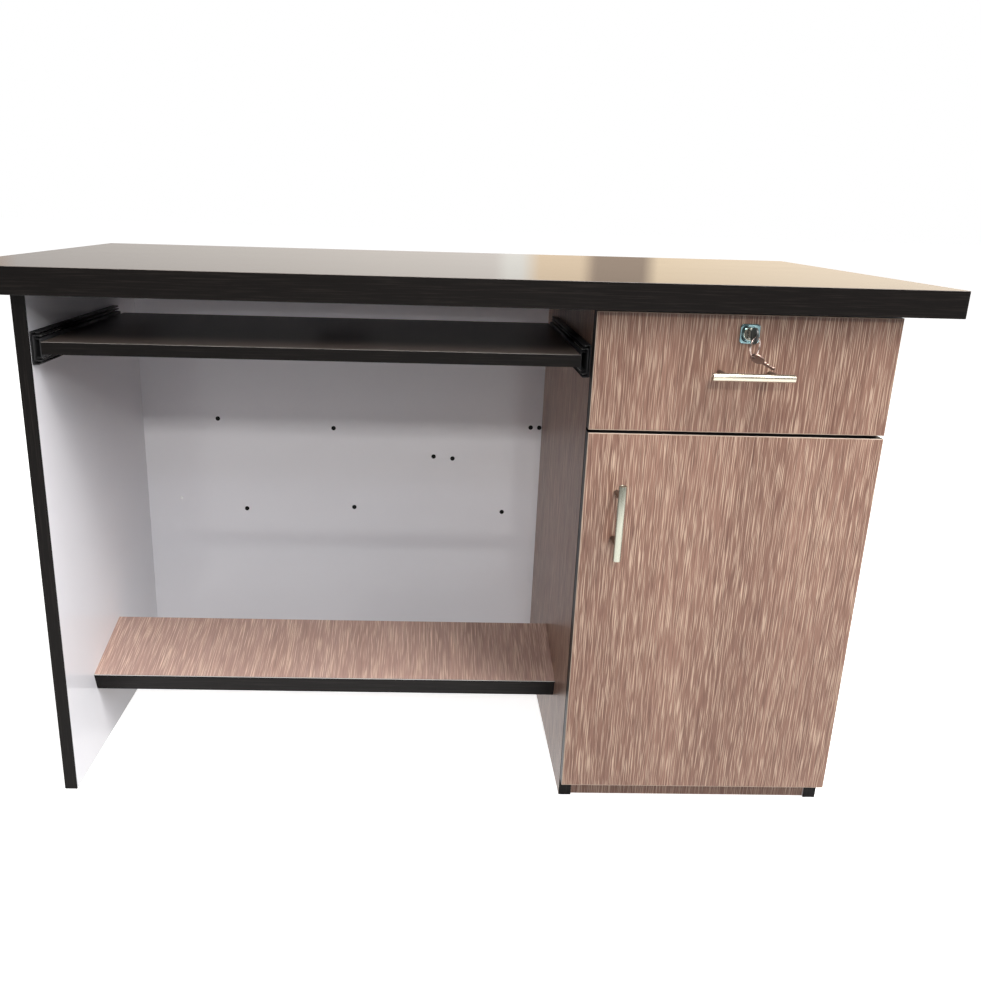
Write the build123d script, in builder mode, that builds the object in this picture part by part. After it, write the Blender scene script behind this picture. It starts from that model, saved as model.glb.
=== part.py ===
"""Computer desk with a keyboard tray, a foot shelf and a drawer-and-door pedestal. Millimetres.

The origin is on the floor, midway along the desk and midway between the back of the desktop
and the front of the bar handles. +X is to the sitter's right, +Y points away from the sitter
and +Z is up.
"""
import os
from math import cos, radians, sin

from build123d import *

os.makedirs("parts", exist_ok=True)

# overall sizes
desk_width = 1240.0
desk_depth = 600.0
desk_height = 750.0

# boards and edge bands
board = 18.0
thin_board = 16.0
band = 1.0
top_build_up = 16.0
build_up_width = 78.0
side_overhang = 66.0
front_overhang = 38.0
back_overhang = 38.0
corner_radius = 3.0
arris = 0.5

# knee space
modesty_back_inset = 93.0
modesty_ground_gap = 60.0
fascia_board = 12.0
fascia_height = 220.0
fascia_bottom = 270.0
fascia_side_gap = 60.0
fascia_arris = 1.0

# foot shelf
foot_depth = 129.0
foot_tilt = 16.4
foot_front_set = 97.0
foot_front_height = 131.5
foot_build_up = 12.0
foot_build_up_width = 50.0
foot_bracket_front_set = 20.0
foot_bracket_back_set = 25.0

# ball-bearing slides, 42 mm tall and 12.7 mm thick
slide_height = 42.0
slide_gap = 12.7
slide_sheet = 1.2
slide_middle_height = 33.0
slide_inner_height = 25.0
slide_stage_gap = 1.5

# keyboard tray
tray_board = 16.0
tray_back_gap = 95.0
tray_front_set = 3.0
tray_drop = 69.5
tray_slide_front_set = 2.0
tray_slide_end_gap = 16.0

# pedestal
pedestal_width = 384.0
plinth_set_back = 4.0
plinth_height = 62.0
pedestal_back_board = 9.0
front_stand_off = 2.5
front_ground_gap = 30.0
drawer_face = 151.0
front_gap = 4.0
drawer_top_gap = 3.0
rail_depth = 80.0
shelf_height = 300.0
shelf_set_back = 30.0
shelf_side_gap = 1.0
shelf_back_gap = 5.0
shelf_pin_front_set = 40.0
shelf_pin_back_set = 60.0
shelf_pin_radius = 2.5
shelf_pin_depth = 8.0
shelf_pin_reach = 7.0

# drawer box
box_board = 12.0
box_bottom_board = 4.0
box_groove = 6.0
box_height = 112.0
box_clearance = 8.0
box_front_extra = 14.0
drawer_slide_front_set = 2.0
drawer_slide_back_gap = 63.0
front_screw_spacing = 198.0

# bar handles
bar_length = 102.0
bar_radius = 5.0
bar_stand_off = 33.0
post_radius = 4.0
post_spacing = 64.0
drawer_bar_drop = 73.0
door_bar_side = 43.0
door_bar_drop = 111.5

# lock and keys
lock_drop = 23.5
bezel_side = 24.5
bezel_thick = 2.5
bezel_corner = 1.5
plug_radius = 8.0
plug_proud = 0.8
running_gap = 0.05
lock_tube_radius = 9.5
lock_hole_gap = 0.2
lock_case = (34.0, 10.0, 40.0)
bolt_size = (18.0, 5.0, 32.0)
bolt_gap = 0.3
bolt_foot = 2.5
bolt_travel = 10.0
crank_pin_radius = 1.5
bolt_slot_play = 1.4
bolt_slot_end_play = 0.4
mortise_depth = 8.0
mortise_gap = 1.0
keeper_thick = 1.5
keeper_size = (44.0, 26.0)
lock_case_drop = 1.5
key_blade_height = 7.0
key_blade_thick = 2.0
key_blade_in = 20.0
key_blade_out = 4.0
keyway_gap = 0.1
bow_length = 22.0
bow_width = 20.0
bow_thick = 2.5
bow_hole_radius = 3.0
bow_hole_end = 5.0
ring_radius = 12.0
ring_wire = 0.9
ring_play = 1.5
ring_yaw = 45.0
spare_yaw = 80.0
spare_droop = 29.0
spare_bow_radius = 9.0
spare_hole_radius = 2.5
spare_hole_end = 1.5
spare_length = 30.0
spare_blade_width = 6.0

# concealed door hinges
hinge_in = 7.0
hinge_face_set = 5.0
cup_radius = 17.5
cup_pin_offset = 13.5
cup_wall = 0.8
cup_gap = 0.1
cup_skin = 1.9
eye_radius = 1.8
hinge_pin_radius = 1.0
hinge_arm_sheet = 1.2
hinge_arm_width = 8.0
hinge_arm_reach = 20.0
hinge_plate_thick = 3.4
hinge_plate_set = 3.0
hinge_plate_width = 16.0
hinge_plate_length = 50.0
hinge_end_set = 90.0

# screws and brackets
screw_radius = 1.75
screw_head_radius = 4.0
screw_head_proud = 0.4
screw_slot = (3.2, 0.9, 0.3)
slide_screw_head = 0.9
slide_screw_grip = 9.0
slide_screw_end = 35.0
modesty_screw_length = 24.0
bracket_leg = 30.0
bracket_sheet = 2.0
bracket_width = 20.0
bracket_front_set = 255.0
bracket_back_set = 80.0

# places worked out from the sizes
low = (Align.MIN, Align.MIN)
top_under = desk_height - board - top_build_up
bar_proud = front_stand_off + thin_board + bar_stand_off + bar_radius - front_overhang
top_mid = max(bar_proud, 0) / 2
front = top_mid - desk_depth / 2 + front_overhang
back = top_mid + desk_depth / 2 - back_overhang
left = -desk_width / 2 + side_overhang
right = desk_width / 2 - side_overhang
knee_left = left + board
knee_right = right - pedestal_width
inside_left = knee_right + board
inside_right = right - board
inside_width = inside_right - inside_left
run = back - front
modesty_front = back - modesty_back_inset - board
face_back = front - front_stand_off
face_front = face_back - thin_board
drawer_top = top_under - drawer_top_gap
drawer_low = drawer_top - drawer_face
door_top = drawer_low - front_gap
door_height = door_top - front_ground_gap
rail_mid = door_top + front_gap / 2
pedestal_mid = (knee_right + right) / 2

lock_x = pedestal_mid
lock_z = drawer_top - lock_drop
lock_case_front = face_back + box_board
bolt_y = lock_case_front + lock_case[1] / 2
mortise_x = bolt_size[0] + 2 * mortise_gap
mortise_y = bolt_size[1] + 2 * mortise_gap

# desktop, with a thicker rim and a black band round its edge
top_plane = Plane((0, top_mid, 0))
build_up_opening = desk_width - 2 * (side_overhang + board)

with BuildPart() as desktop_board:
    with BuildSketch(top_plane.offset(desk_height - board)):
        Rectangle(desk_width - 2 * band, desk_depth - 2 * band)
        fillet(vertices(), corner_radius - band)
    extrude(amount=board)

with BuildPart() as desktop_build_up:
    with BuildSketch(top_plane.offset(top_under)):
        Rectangle(desk_width - 2 * band, desk_depth - 2 * band)
        fillet(vertices(), corner_radius - band)
        Rectangle(
            build_up_opening, desk_depth - 2 * build_up_width, mode=Mode.SUBTRACT
        )
    extrude(amount=top_build_up)
    with BuildSketch(Plane.XY.offset(top_under)):
        with Locations((lock_x, bolt_y)):
            Rectangle(keeper_size[0], keeper_size[1])
    extrude(amount=keeper_thick, mode=Mode.SUBTRACT)
    with BuildSketch(Plane.XY.offset(top_under)):
        with Locations((lock_x, bolt_y)):
            Rectangle(mortise_x, mortise_y)
    extrude(amount=mortise_depth, mode=Mode.SUBTRACT)

with BuildPart() as desktop_cross_battens:
    with BuildSketch(Plane.XY.offset(top_under)):
        for batten_x in ((knee_left + knee_right) / 2, knee_right + board / 2):
            with Locations((batten_x, top_mid)):
                Rectangle(build_up_width, desk_depth - 2 * build_up_width)
    extrude(amount=top_build_up)

with BuildPart() as desktop_edge_band:
    with BuildSketch(top_plane.offset(top_under)):
        Rectangle(desk_width, desk_depth)
        fillet(vertices(), corner_radius)
        offset(amount=-band, mode=Mode.SUBTRACT)
    extrude(amount=desk_height - top_under)
    rim = faces().sort_by(Axis.Z)[-1].outer_wire().edges()
    sole = faces().sort_by(Axis.Z)[0].outer_wire().edges()
    chamfer(rim + sole, arris)

# upright panels
with BuildPart() as left_end_panel:
    with BuildSketch():
        with Locations((left, front + band)):
            Rectangle(board, run - band, align=low)
    extrude(amount=top_under)

with BuildPart() as pedestal_left_panel:
    with BuildSketch():
        with Locations((knee_right, front + band)):
            Rectangle(board, run - band, align=low)
    extrude(amount=top_under)

with BuildPart() as pedestal_right_panel:
    with BuildSketch():
        with Locations((inside_right, front + band)):
            Rectangle(board, run - band, align=low)
    extrude(amount=top_under)

with BuildPart() as panel_edge_bands:
    for band_x in (left, knee_right, inside_right):
        with BuildSketch():
            with Locations((band_x, front)):
                Rectangle(board, band, align=low)
        extrude(amount=top_under)
    chamfer(edges().filter_by(Axis.Z).group_by(Axis.Y)[0], arris)

with BuildPart() as modesty_panel:
    with BuildSketch(Plane.XY.offset(modesty_ground_gap)):
        with Locations((knee_left, modesty_front)):
            Rectangle(knee_right - knee_left, board, align=low)
    extrude(amount=top_under - modesty_ground_gap)

with BuildPart() as modesty_fascia:
    with BuildSketch(Plane.XY.offset(fascia_bottom)):
        with Locations((knee_left + fascia_side_gap, modesty_front + board)):
            Rectangle(knee_right - knee_left - 2 * fascia_side_gap, fascia_board, align=low)
    extrude(amount=fascia_height)
    chamfer(faces().sort_by(Axis.Y)[-1].edges(), fascia_arris)

# screw heads in the knee side of the modesty panel, as (distance from one side, height)
screws_from_left = [(131.0, 460.5), (335.0, 447.5), (176.5, 293.5)]
screws_from_right = [
    (20.0, 456.5),
    (4.6, 456.5),
    (192.0, 399.0),
    (158.0, 396.0),
    (334.5, 300.0),
    (64.5, 296.0),
]
modesty_screw_places = [(knee_left + inset, height) for inset, height in screws_from_left]
modesty_screw_places += [(knee_right - inset, height) for inset, height in screws_from_right]
with BuildPart() as modesty_screws:
    for place_x, place_z in modesty_screw_places:
        head = Plane((place_x, modesty_front, place_z), x_dir=(1, 0, 0), z_dir=(0, -1, 0))
        with BuildSketch(head):
            Circle(screw_head_radius)
        extrude(amount=screw_head_proud)
        with BuildSketch(head):
            Circle(screw_radius)
        extrude(amount=-modesty_screw_length)
        with BuildSketch(head.offset(screw_head_proud)):
            Rectangle(screw_slot[0], screw_slot[1])
            Rectangle(screw_slot[1], screw_slot[0])
        extrude(amount=-screw_slot[2], mode=Mode.SUBTRACT)

# foot shelf, tilted towards the sitter
tilt = radians(foot_tilt)
foot_top = Plane(
    origin=(knee_left, front + foot_front_set, foot_front_height),
    x_dir=(1, 0, 0),
    z_dir=(0, -sin(tilt), cos(tilt)),
)
foot_width = knee_right - knee_left

with BuildPart() as foot_shelf:
    with BuildSketch(foot_top):
        with Locations((0, band)):
            Rectangle(foot_width, foot_depth - band, align=low)
    extrude(amount=-board)

with BuildPart() as foot_shelf_build_up:
    with BuildSketch(foot_top.offset(-board)):
        with Locations((0, band)):
            Rectangle(foot_width, foot_build_up_width - band, align=low)
    extrude(amount=-foot_build_up)

with BuildPart() as foot_shelf_edge_band:
    with BuildSketch(foot_top):
        Rectangle(foot_width, band, align=low)
    extrude(amount=-board - foot_build_up)
    foot_front_face = faces().sort_by(Axis(foot_top.origin, foot_top.y_dir))[0]
    chamfer(foot_front_face.edges().filter_by(Axis.X), arris)

with BuildPart() as foot_shelf_brackets:
    for side_x, lean in ((knee_left, 1), (knee_right, -1)):
        for along in (foot_build_up_width + foot_bracket_front_set, foot_depth - foot_bracket_back_set):
            ends = sorted((0, lean * bracket_leg))
            with BuildSketch(foot_top.offset(-board)):
                with Locations((side_x - knee_left + ends[0], along)):
                    Rectangle(bracket_leg, bracket_width, align=low)
            extrude(amount=-bracket_sheet)
            with BuildSketch(foot_top.offset(-board - bracket_sheet)):
                with Locations((side_x - knee_left + min(0, lean * bracket_sheet), along)):
                    Rectangle(bracket_sheet, bracket_width, align=low)
            extrude(amount=-bracket_leg + bracket_sheet)

# pedestal carcass
inside_depth = back - pedestal_back_board - front

with BuildPart() as plinth_board:
    with BuildSketch():
        with Locations((inside_left, front + plinth_set_back)):
            Rectangle(inside_width, board, align=low)
    extrude(amount=plinth_height)

with BuildPart() as pedestal_bottom:
    with BuildSketch(Plane.XY.offset(plinth_height)):
        with Locations((inside_left, front)):
            Rectangle(inside_width, inside_depth, align=low)
    extrude(amount=board)

with BuildPart() as pedestal_back:
    with BuildSketch(Plane.XY.offset(plinth_height)):
        with Locations((inside_left, back - pedestal_back_board)):
            Rectangle(inside_width, pedestal_back_board, align=low)
    extrude(amount=top_under - plinth_height)

with BuildPart() as divider_rail:
    with BuildSketch(Plane.XY.offset(rail_mid - board / 2)):
        with Locations((inside_left, front)):
            Rectangle(inside_width, rail_depth, align=low)
    extrude(amount=board)

with BuildPart() as cabinet_shelf:
    with BuildSketch(Plane.XY.offset(shelf_height)):
        with Locations((inside_left + shelf_side_gap, front + shelf_set_back)):
            Rectangle(
                inside_width - 2 * shelf_side_gap,
                inside_depth - shelf_set_back - shelf_back_gap,
                align=low,
            )
    extrude(amount=board)

# shelf pins stand in blind holes, two in each side of the pedestal
pin_rows = (
    front + shelf_set_back + shelf_pin_front_set,
    front + inside_depth - shelf_pin_back_set,
)
pin_z = shelf_height - shelf_pin_radius
with BuildPart() as shelf_pins:
    for pin_y in pin_rows:
        for side_x, lean in ((inside_left, 1), (inside_right, -1)):
            with BuildSketch(Plane((side_x, pin_y, pin_z), x_dir=(0, 1, 0), z_dir=(lean, 0, 0))):
                Circle(shelf_pin_radius)
            extrude(amount=shelf_pin_reach)
            with BuildSketch(Plane((side_x, pin_y, pin_z), x_dir=(0, 1, 0), z_dir=(lean, 0, 0))):
                Circle(shelf_pin_radius)
            extrude(amount=-shelf_pin_depth)

for side_panel, side_x, lean in (
    (pedestal_left_panel, inside_left, 1),
    (pedestal_right_panel, inside_right, -1),
):
    with side_panel:
        for pin_y in pin_rows:
            with BuildSketch(Plane((side_x, pin_y, pin_z), x_dir=(0, 1, 0), z_dir=(lean, 0, 0))):
                Circle(shelf_pin_radius)
            extrude(amount=-shelf_pin_depth, mode=Mode.SUBTRACT)

# telescopic slides: three nested members on each side
def slide_member(wall, lean, mid_z, start, length, web, height, reach):
    """Adds one C-shaped slide member: its web is web mm off the wall, its lips reach away or back."""
    section = Plane((wall, start, mid_z), x_dir=(lean, 0, 0), z_dir=(0, 1, 0))
    web_low = min(web, web + reach)
    lips = abs(reach)
    with BuildSketch(section) as profile:
        with Locations((web_low + lips / 2, 0)):
            Rectangle(lips, height)
        inner = web_low + (slide_sheet if reach > 0 else 0)
        with Locations((inner + (lips - slide_sheet) / 2, 0)):
            Rectangle(lips - slide_sheet, height - 2 * slide_sheet, mode=Mode.SUBTRACT)
    extrude(profile.sketch, amount=length * profile.sketch.faces()[0].normal_at().Y)


tray_width = knee_right - knee_left - 2 * slide_gap
tray_depth = modesty_front - tray_back_gap - front - tray_front_set
tray_mid_height = top_under - tray_drop
tray_start = front + tray_slide_front_set
tray_slide_length = tray_depth + tray_front_set - tray_slide_front_set - tray_slide_end_gap
tray_walls = ((knee_left, 1), (knee_right, -1))
drawer_slide_start = front + drawer_slide_front_set
drawer_slide_length = inside_depth - drawer_slide_front_set - drawer_slide_back_gap
box_low = rail_mid + board / 2 + box_clearance
drawer_slide_z = box_low + box_height / 2
drawer_walls = ((inside_left, 1), (inside_right, -1))
middle_web = slide_sheet + slide_stage_gap
inner_web = slide_gap
outer_reach = slide_gap - slide_stage_gap - slide_sheet
middle_reach = slide_gap - middle_web - slide_stage_gap
inner_reach = middle_web + slide_sheet + slide_stage_gap - slide_gap

with BuildPart() as tray_slide_outer_members:
    for wall, lean in tray_walls:
        slide_member(
            wall, lean, tray_mid_height, tray_start, tray_slide_length, 0, slide_height, outer_reach
        )

with BuildPart() as tray_slide_middle_members:
    for wall, lean in tray_walls:
        slide_member(
            wall, lean, tray_mid_height, tray_start, tray_slide_length,
            middle_web, slide_middle_height, middle_reach,
        )

with BuildPart() as tray_slide_inner_members:
    for wall, lean in tray_walls:
        slide_member(
            wall, lean, tray_mid_height, tray_start, tray_slide_length,
            inner_web, slide_inner_height, inner_reach,
        )

with BuildPart() as drawer_slide_outer_members:
    for wall, lean in drawer_walls:
        slide_member(
            wall, lean, drawer_slide_z, drawer_slide_start, drawer_slide_length,
            0, slide_height, outer_reach,
        )

with BuildPart() as drawer_slide_middle_members:
    for wall, lean in drawer_walls:
        slide_member(
            wall, lean, drawer_slide_z, drawer_slide_start, drawer_slide_length,
            middle_web, slide_middle_height, middle_reach,
        )

with BuildPart() as drawer_slide_inner_members:
    for wall, lean in drawer_walls:
        slide_member(
            wall, lean, drawer_slide_z, drawer_slide_start, drawer_slide_length,
            inner_web, slide_inner_height, inner_reach,
        )


def slide_screws(wall, lean, mid_z, start, length, web_face, point):
    """Adds three screws along one slide member: heads on web_face, points at point, off the wall."""
    sense = 1 if point < web_face else -1
    for row in (slide_screw_end, length / 2, length - slide_screw_end):
        seat = Plane((wall, start + row, mid_z), x_dir=(0, 1, 0), z_dir=(lean, 0, 0)).offset(web_face)
        with BuildSketch(seat) as head:
            Circle(screw_head_radius)
        extrude(head.sketch, amount=sense * slide_screw_head)
        with BuildSketch(seat) as shank:
            Circle(screw_radius)
        extrude(shank.sketch, amount=point - web_face)


with BuildPart() as slide_fixing_screws:
    for wall, lean in tray_walls:
        slide_screws(
            wall, lean, tray_mid_height, tray_start, tray_slide_length,
            slide_sheet, -slide_screw_grip,
        )
    for wall, lean in drawer_walls:
        slide_screws(
            wall, lean, drawer_slide_z, drawer_slide_start, drawer_slide_length,
            slide_sheet, -slide_screw_grip,
        )

with BuildPart() as tray_slide_screws:
    for wall, lean in tray_walls:
        slide_screws(
            wall, lean, tray_mid_height, tray_start, tray_slide_length,
            slide_gap - slide_sheet, slide_gap + slide_screw_grip,
        )

# keyboard tray
tray_low = tray_mid_height - tray_board / 2

with BuildPart() as keyboard_tray:
    with BuildSketch(Plane.XY.offset(tray_low)):
        with Locations((knee_left + slide_gap, front + tray_front_set + band)):
            Rectangle(tray_width, tray_depth - band, align=low)
    extrude(amount=tray_board)

with BuildPart() as keyboard_tray_edge_band:
    with BuildSketch(Plane.XY.offset(tray_low)):
        with Locations((knee_left + slide_gap, front + tray_front_set)):
            Rectangle(tray_width, band, align=low)
    extrude(amount=tray_board)
    chamfer(faces().sort_by(Axis.Y)[0].edges().filter_by(Axis.X), arris)

# drawer box
box_left = inside_left + slide_gap
box_width = inside_width - 2 * slide_gap
box_end = drawer_slide_start + drawer_slide_length
bottom_z = box_low + box_clearance

# the bottom board is let into grooves in all four sides
with BuildSketch(Plane.XY.offset(bottom_z)) as bottom_outline:
    with Locations((box_left + box_board - box_groove, lock_case_front - box_groove)):
        Rectangle(
            box_width - 2 * (box_board - box_groove),
            box_end - lock_case_front - box_board + 2 * box_groove,
            align=low,
        )

with BuildPart() as drawer_box_bottom:
    extrude(bottom_outline.sketch, amount=box_bottom_board)

with BuildPart() as drawer_box_front:
    with BuildSketch(Plane.XY.offset(box_low)):
        with Locations((box_left, face_back)):
            Rectangle(box_width, box_board, align=low)
    extrude(amount=box_height + box_front_extra)
    extrude(bottom_outline.sketch, amount=box_bottom_board, mode=Mode.SUBTRACT)
    with BuildSketch(Plane((lock_x, face_back, lock_z), x_dir=(1, 0, 0), z_dir=(0, -1, 0))):
        Circle(lock_tube_radius + lock_hole_gap)
    extrude(amount=-box_board, mode=Mode.SUBTRACT)

with BuildPart() as drawer_box_left_side:
    with BuildSketch(Plane.XY.offset(box_low)):
        with Locations((box_left, lock_case_front)):
            Rectangle(box_board, box_end - lock_case_front, align=low)
    extrude(amount=box_height)
    extrude(bottom_outline.sketch, amount=box_bottom_board, mode=Mode.SUBTRACT)

with BuildPart() as drawer_box_right_side:
    with BuildSketch(Plane.XY.offset(box_low)):
        with Locations((box_left + box_width - box_board, lock_case_front)):
            Rectangle(box_board, box_end - lock_case_front, align=low)
    extrude(amount=box_height)
    extrude(bottom_outline.sketch, amount=box_bottom_board, mode=Mode.SUBTRACT)

with BuildPart() as drawer_box_back:
    with BuildSketch(Plane.XY.offset(box_low)):
        with Locations((box_left + box_board, box_end - box_board)):
            Rectangle(box_width - 2 * box_board, box_board, align=low)
    extrude(amount=box_height)
    extrude(bottom_outline.sketch, amount=box_bottom_board, mode=Mode.SUBTRACT)

with BuildPart() as drawer_slide_screws:
    for wall, lean in drawer_walls:
        slide_screws(
            wall, lean, drawer_slide_z, drawer_slide_start, drawer_slide_length,
            slide_gap - slide_sheet, slide_gap + slide_screw_grip,
        )

# drawer front and its handle
face_plane = Plane((pedestal_mid, face_back, 0), x_dir=(1, 0, 0), z_dir=(0, -1, 0))
drawer_mid_z = (drawer_low + drawer_top) / 2

with BuildPart() as drawer_front:
    with BuildSketch(face_plane):
        with Locations((0, drawer_mid_z)):
            Rectangle(pedestal_width - 2 * band, drawer_face - 2 * band)
        with Locations((0, lock_z)):
            Circle(lock_tube_radius + lock_hole_gap, mode=Mode.SUBTRACT)
    extrude(amount=thin_board)

with BuildPart() as drawer_front_edge_bands:
    with BuildSketch(face_plane):
        with Locations((0, drawer_mid_z)):
            Rectangle(pedestal_width, drawer_face)
            Rectangle(pedestal_width - 2 * band, drawer_face - 2 * band, mode=Mode.SUBTRACT)
    extrude(amount=thin_board)
    chamfer(faces().sort_by(Axis.Y)[0].outer_wire().edges(), arris)

with BuildPart() as drawer_front_screws:
    for side in (-1, 1):
        seat = Plane(
            (pedestal_mid + side * front_screw_spacing / 2, lock_case_front, drawer_mid_z),
            x_dir=(1, 0, 0),
            z_dir=(0, 1, 0),
        )
        with BuildSketch(seat):
            Circle(screw_head_radius)
        extrude(amount=slide_screw_head)
        with BuildSketch(seat):
            Circle(screw_radius)
        extrude(amount=-box_board - slide_screw_grip)

bar_y = face_front - bar_stand_off
post_length = bar_stand_off - bar_radius + arris
drawer_bar_height = drawer_top - drawer_bar_drop
door_bar_height = door_top - door_bar_drop
door_bar_x = knee_right + door_bar_side

with BuildPart() as drawer_handle_bar:
    with BuildSketch(
        Plane((pedestal_mid - bar_length / 2, bar_y, drawer_bar_height), z_dir=(1, 0, 0))
    ):
        Circle(bar_radius)
    extrude(amount=bar_length)
    chamfer(edges().filter_by(GeomType.CIRCLE), arris)

with BuildPart() as drawer_handle_posts:
    with BuildSketch(
        Plane((pedestal_mid, face_front, drawer_bar_height), x_dir=(1, 0, 0), z_dir=(0, -1, 0))
    ):
        with Locations((-post_spacing / 2, 0), (post_spacing / 2, 0)):
            Circle(post_radius)
    extrude(amount=post_length)

# door and its handle
door_mid_z = front_ground_gap + door_height / 2

with BuildPart() as door_panel:
    with BuildSketch(face_plane):
        with Locations((0, door_mid_z)):
            Rectangle(pedestal_width - 2 * band, door_height - 2 * band)
    extrude(amount=thin_board)

with BuildPart() as door_edge_bands:
    with BuildSketch(face_plane):
        with Locations((0, door_mid_z)):
            Rectangle(pedestal_width, door_height)
            Rectangle(pedestal_width - 2 * band, door_height - 2 * band, mode=Mode.SUBTRACT)
    extrude(amount=thin_board)
    chamfer(faces().sort_by(Axis.Y)[0].outer_wire().edges(), arris)

with BuildPart() as door_handle_bar:
    with BuildSketch(
        Plane((door_bar_x, bar_y, door_bar_height - bar_length / 2), z_dir=(0, 0, 1))
    ):
        Circle(bar_radius)
    extrude(amount=bar_length)
    chamfer(edges().filter_by(GeomType.CIRCLE), arris)

with BuildPart() as door_handle_posts:
    with BuildSketch(
        Plane((door_bar_x, face_front, door_bar_height), x_dir=(1, 0, 0), z_dir=(0, -1, 0))
    ):
        with Locations((0, -post_spacing / 2), (0, post_spacing / 2)):
            Circle(post_radius)
    extrude(amount=post_length)

# door hinges: a cup in the door, a pin across it, and an arm on a plate inside the pedestal
hinge_x = right - hinge_in
hinge_y = face_front + hinge_face_set
cup_x = hinge_x - cup_pin_offset
cup_depth = thin_board - cup_skin
hinge_heights = (front_ground_gap + hinge_end_set, door_top - hinge_end_set)
arm_turn_x = inside_right - hinge_plate_thick - hinge_arm_sheet / 2
arm_end = front + hinge_arm_reach

with door_panel:
    for hinge_z in hinge_heights:
        with BuildSketch(Plane((cup_x, face_back, hinge_z), x_dir=(1, 0, 0), z_dir=(0, -1, 0))):
            Circle(cup_radius)
        extrude(amount=cup_depth, mode=Mode.SUBTRACT)

with BuildPart() as hinge_cups:
    for hinge_z in hinge_heights:
        mouth = Plane((cup_x, face_back, hinge_z), x_dir=(1, 0, 0), z_dir=(0, -1, 0))
        with BuildSketch(mouth):
            Circle(cup_radius - cup_gap)
        extrude(amount=cup_depth - cup_gap)
        with BuildSketch(mouth):
            Circle(cup_radius - cup_gap - cup_wall)
        extrude(amount=cup_depth - cup_gap - cup_wall, mode=Mode.SUBTRACT)

with BuildPart() as hinge_pins:
    for hinge_z in hinge_heights:
        half_chord = ((cup_radius - cup_wall) ** 2 - (hinge_x - cup_x) ** 2) ** 0.5
        with BuildSketch(Plane((hinge_x, hinge_y, hinge_z - half_chord), z_dir=(0, 0, 1))):
            Circle(hinge_pin_radius)
        extrude(amount=2 * half_chord)

with BuildPart() as hinge_arms:
    for hinge_z in hinge_heights:
        nose = Plane((0, 0, hinge_z - hinge_arm_width / 2), x_dir=(1, 0, 0), z_dir=(0, 0, 1))
        with BuildSketch(nose):
            with Locations((hinge_x, hinge_y)):
                Circle(eye_radius)
            with Locations(((hinge_x + arm_turn_x) / 2, hinge_y)):
                Rectangle(hinge_x - arm_turn_x + hinge_arm_sheet, hinge_arm_sheet)
            with Locations((arm_turn_x, (hinge_y + arm_end) / 2)):
                Rectangle(hinge_arm_sheet, arm_end - hinge_y + hinge_arm_sheet)
            with Locations((hinge_x, hinge_y)):
                Circle(hinge_pin_radius + running_gap, mode=Mode.SUBTRACT)
        extrude(amount=hinge_arm_width)

with BuildPart() as hinge_plates:
    for hinge_z in hinge_heights:
        with BuildSketch(Plane.XY.offset(hinge_z - hinge_plate_width / 2)):
            with Locations((inside_right - hinge_plate_thick, front + hinge_plate_set)):
                Rectangle(hinge_plate_thick, hinge_plate_length, align=low)
        extrude(amount=hinge_plate_width)

# lock, key and key ring
lock_plane = Plane((lock_x, face_front, lock_z), x_dir=(1, 0, 0), z_dir=(0, -1, 0))
plug_front = face_front - bezel_thick - plug_proud
case_low = lock_z - lock_case_drop - lock_case[2] / 2
cavity_front = bolt_y - bolt_size[1] / 2 - bolt_gap
crank = bolt_travel / 2
slot_half = crank_pin_radius + bolt_slot_play
slot_play = crank_pin_radius + bolt_slot_end_play
bolt_low = lock_z - crank - slot_half - bolt_foot

with BuildPart() as lock_bezel:
    with BuildSketch(lock_plane):
        RectangleRounded(bezel_side, bezel_side, bezel_corner)
        Circle(plug_radius + running_gap, mode=Mode.SUBTRACT)
    extrude(amount=bezel_thick)
    chamfer(faces().sort_by(Axis.Y)[0].outer_wire().edges(), arris)

with BuildPart() as lock_body:
    with BuildSketch(lock_plane):
        Circle(lock_tube_radius)
    extrude(amount=-(lock_case_front - face_front))
    with BuildSketch(Plane.XY.offset(case_low)):
        with Locations((lock_x, bolt_y)):
            Rectangle(lock_case[0], lock_case[1])
    extrude(amount=lock_case[2])
    with BuildSketch(Plane.XY.offset(bolt_low - bolt_gap)):
        with Locations((lock_x, bolt_y)):
            Rectangle(bolt_size[0] + 2 * bolt_gap, bolt_size[1] + 2 * bolt_gap)
    extrude(amount=lock_case[2], mode=Mode.SUBTRACT)
    with BuildSketch(lock_plane):
        Circle(plug_radius + running_gap)
    extrude(amount=-(cavity_front - face_front), mode=Mode.SUBTRACT)

with BuildPart() as lock_cylinder:
    with BuildSketch(Plane((lock_x, plug_front, lock_z), x_dir=(1, 0, 0), z_dir=(0, 1, 0))):
        Circle(plug_radius)
    extrude(amount=cavity_front - plug_front)
    chamfer(edges().filter_by(GeomType.CIRCLE).sort_by(Axis.Y)[0], arris)
    with BuildSketch(Plane((lock_x, cavity_front, lock_z - crank), x_dir=(1, 0, 0), z_dir=(0, 1, 0))):
        Circle(crank_pin_radius)
    extrude(amount=bolt_size[1] + bolt_gap)
    with BuildSketch(Plane((lock_x, plug_front, lock_z), x_dir=(1, 0, 0), z_dir=(0, 1, 0))):
        Rectangle(key_blade_thick + 2 * keyway_gap, key_blade_height + 2 * keyway_gap)
    extrude(amount=key_blade_in + keyway_gap, mode=Mode.SUBTRACT)

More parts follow.
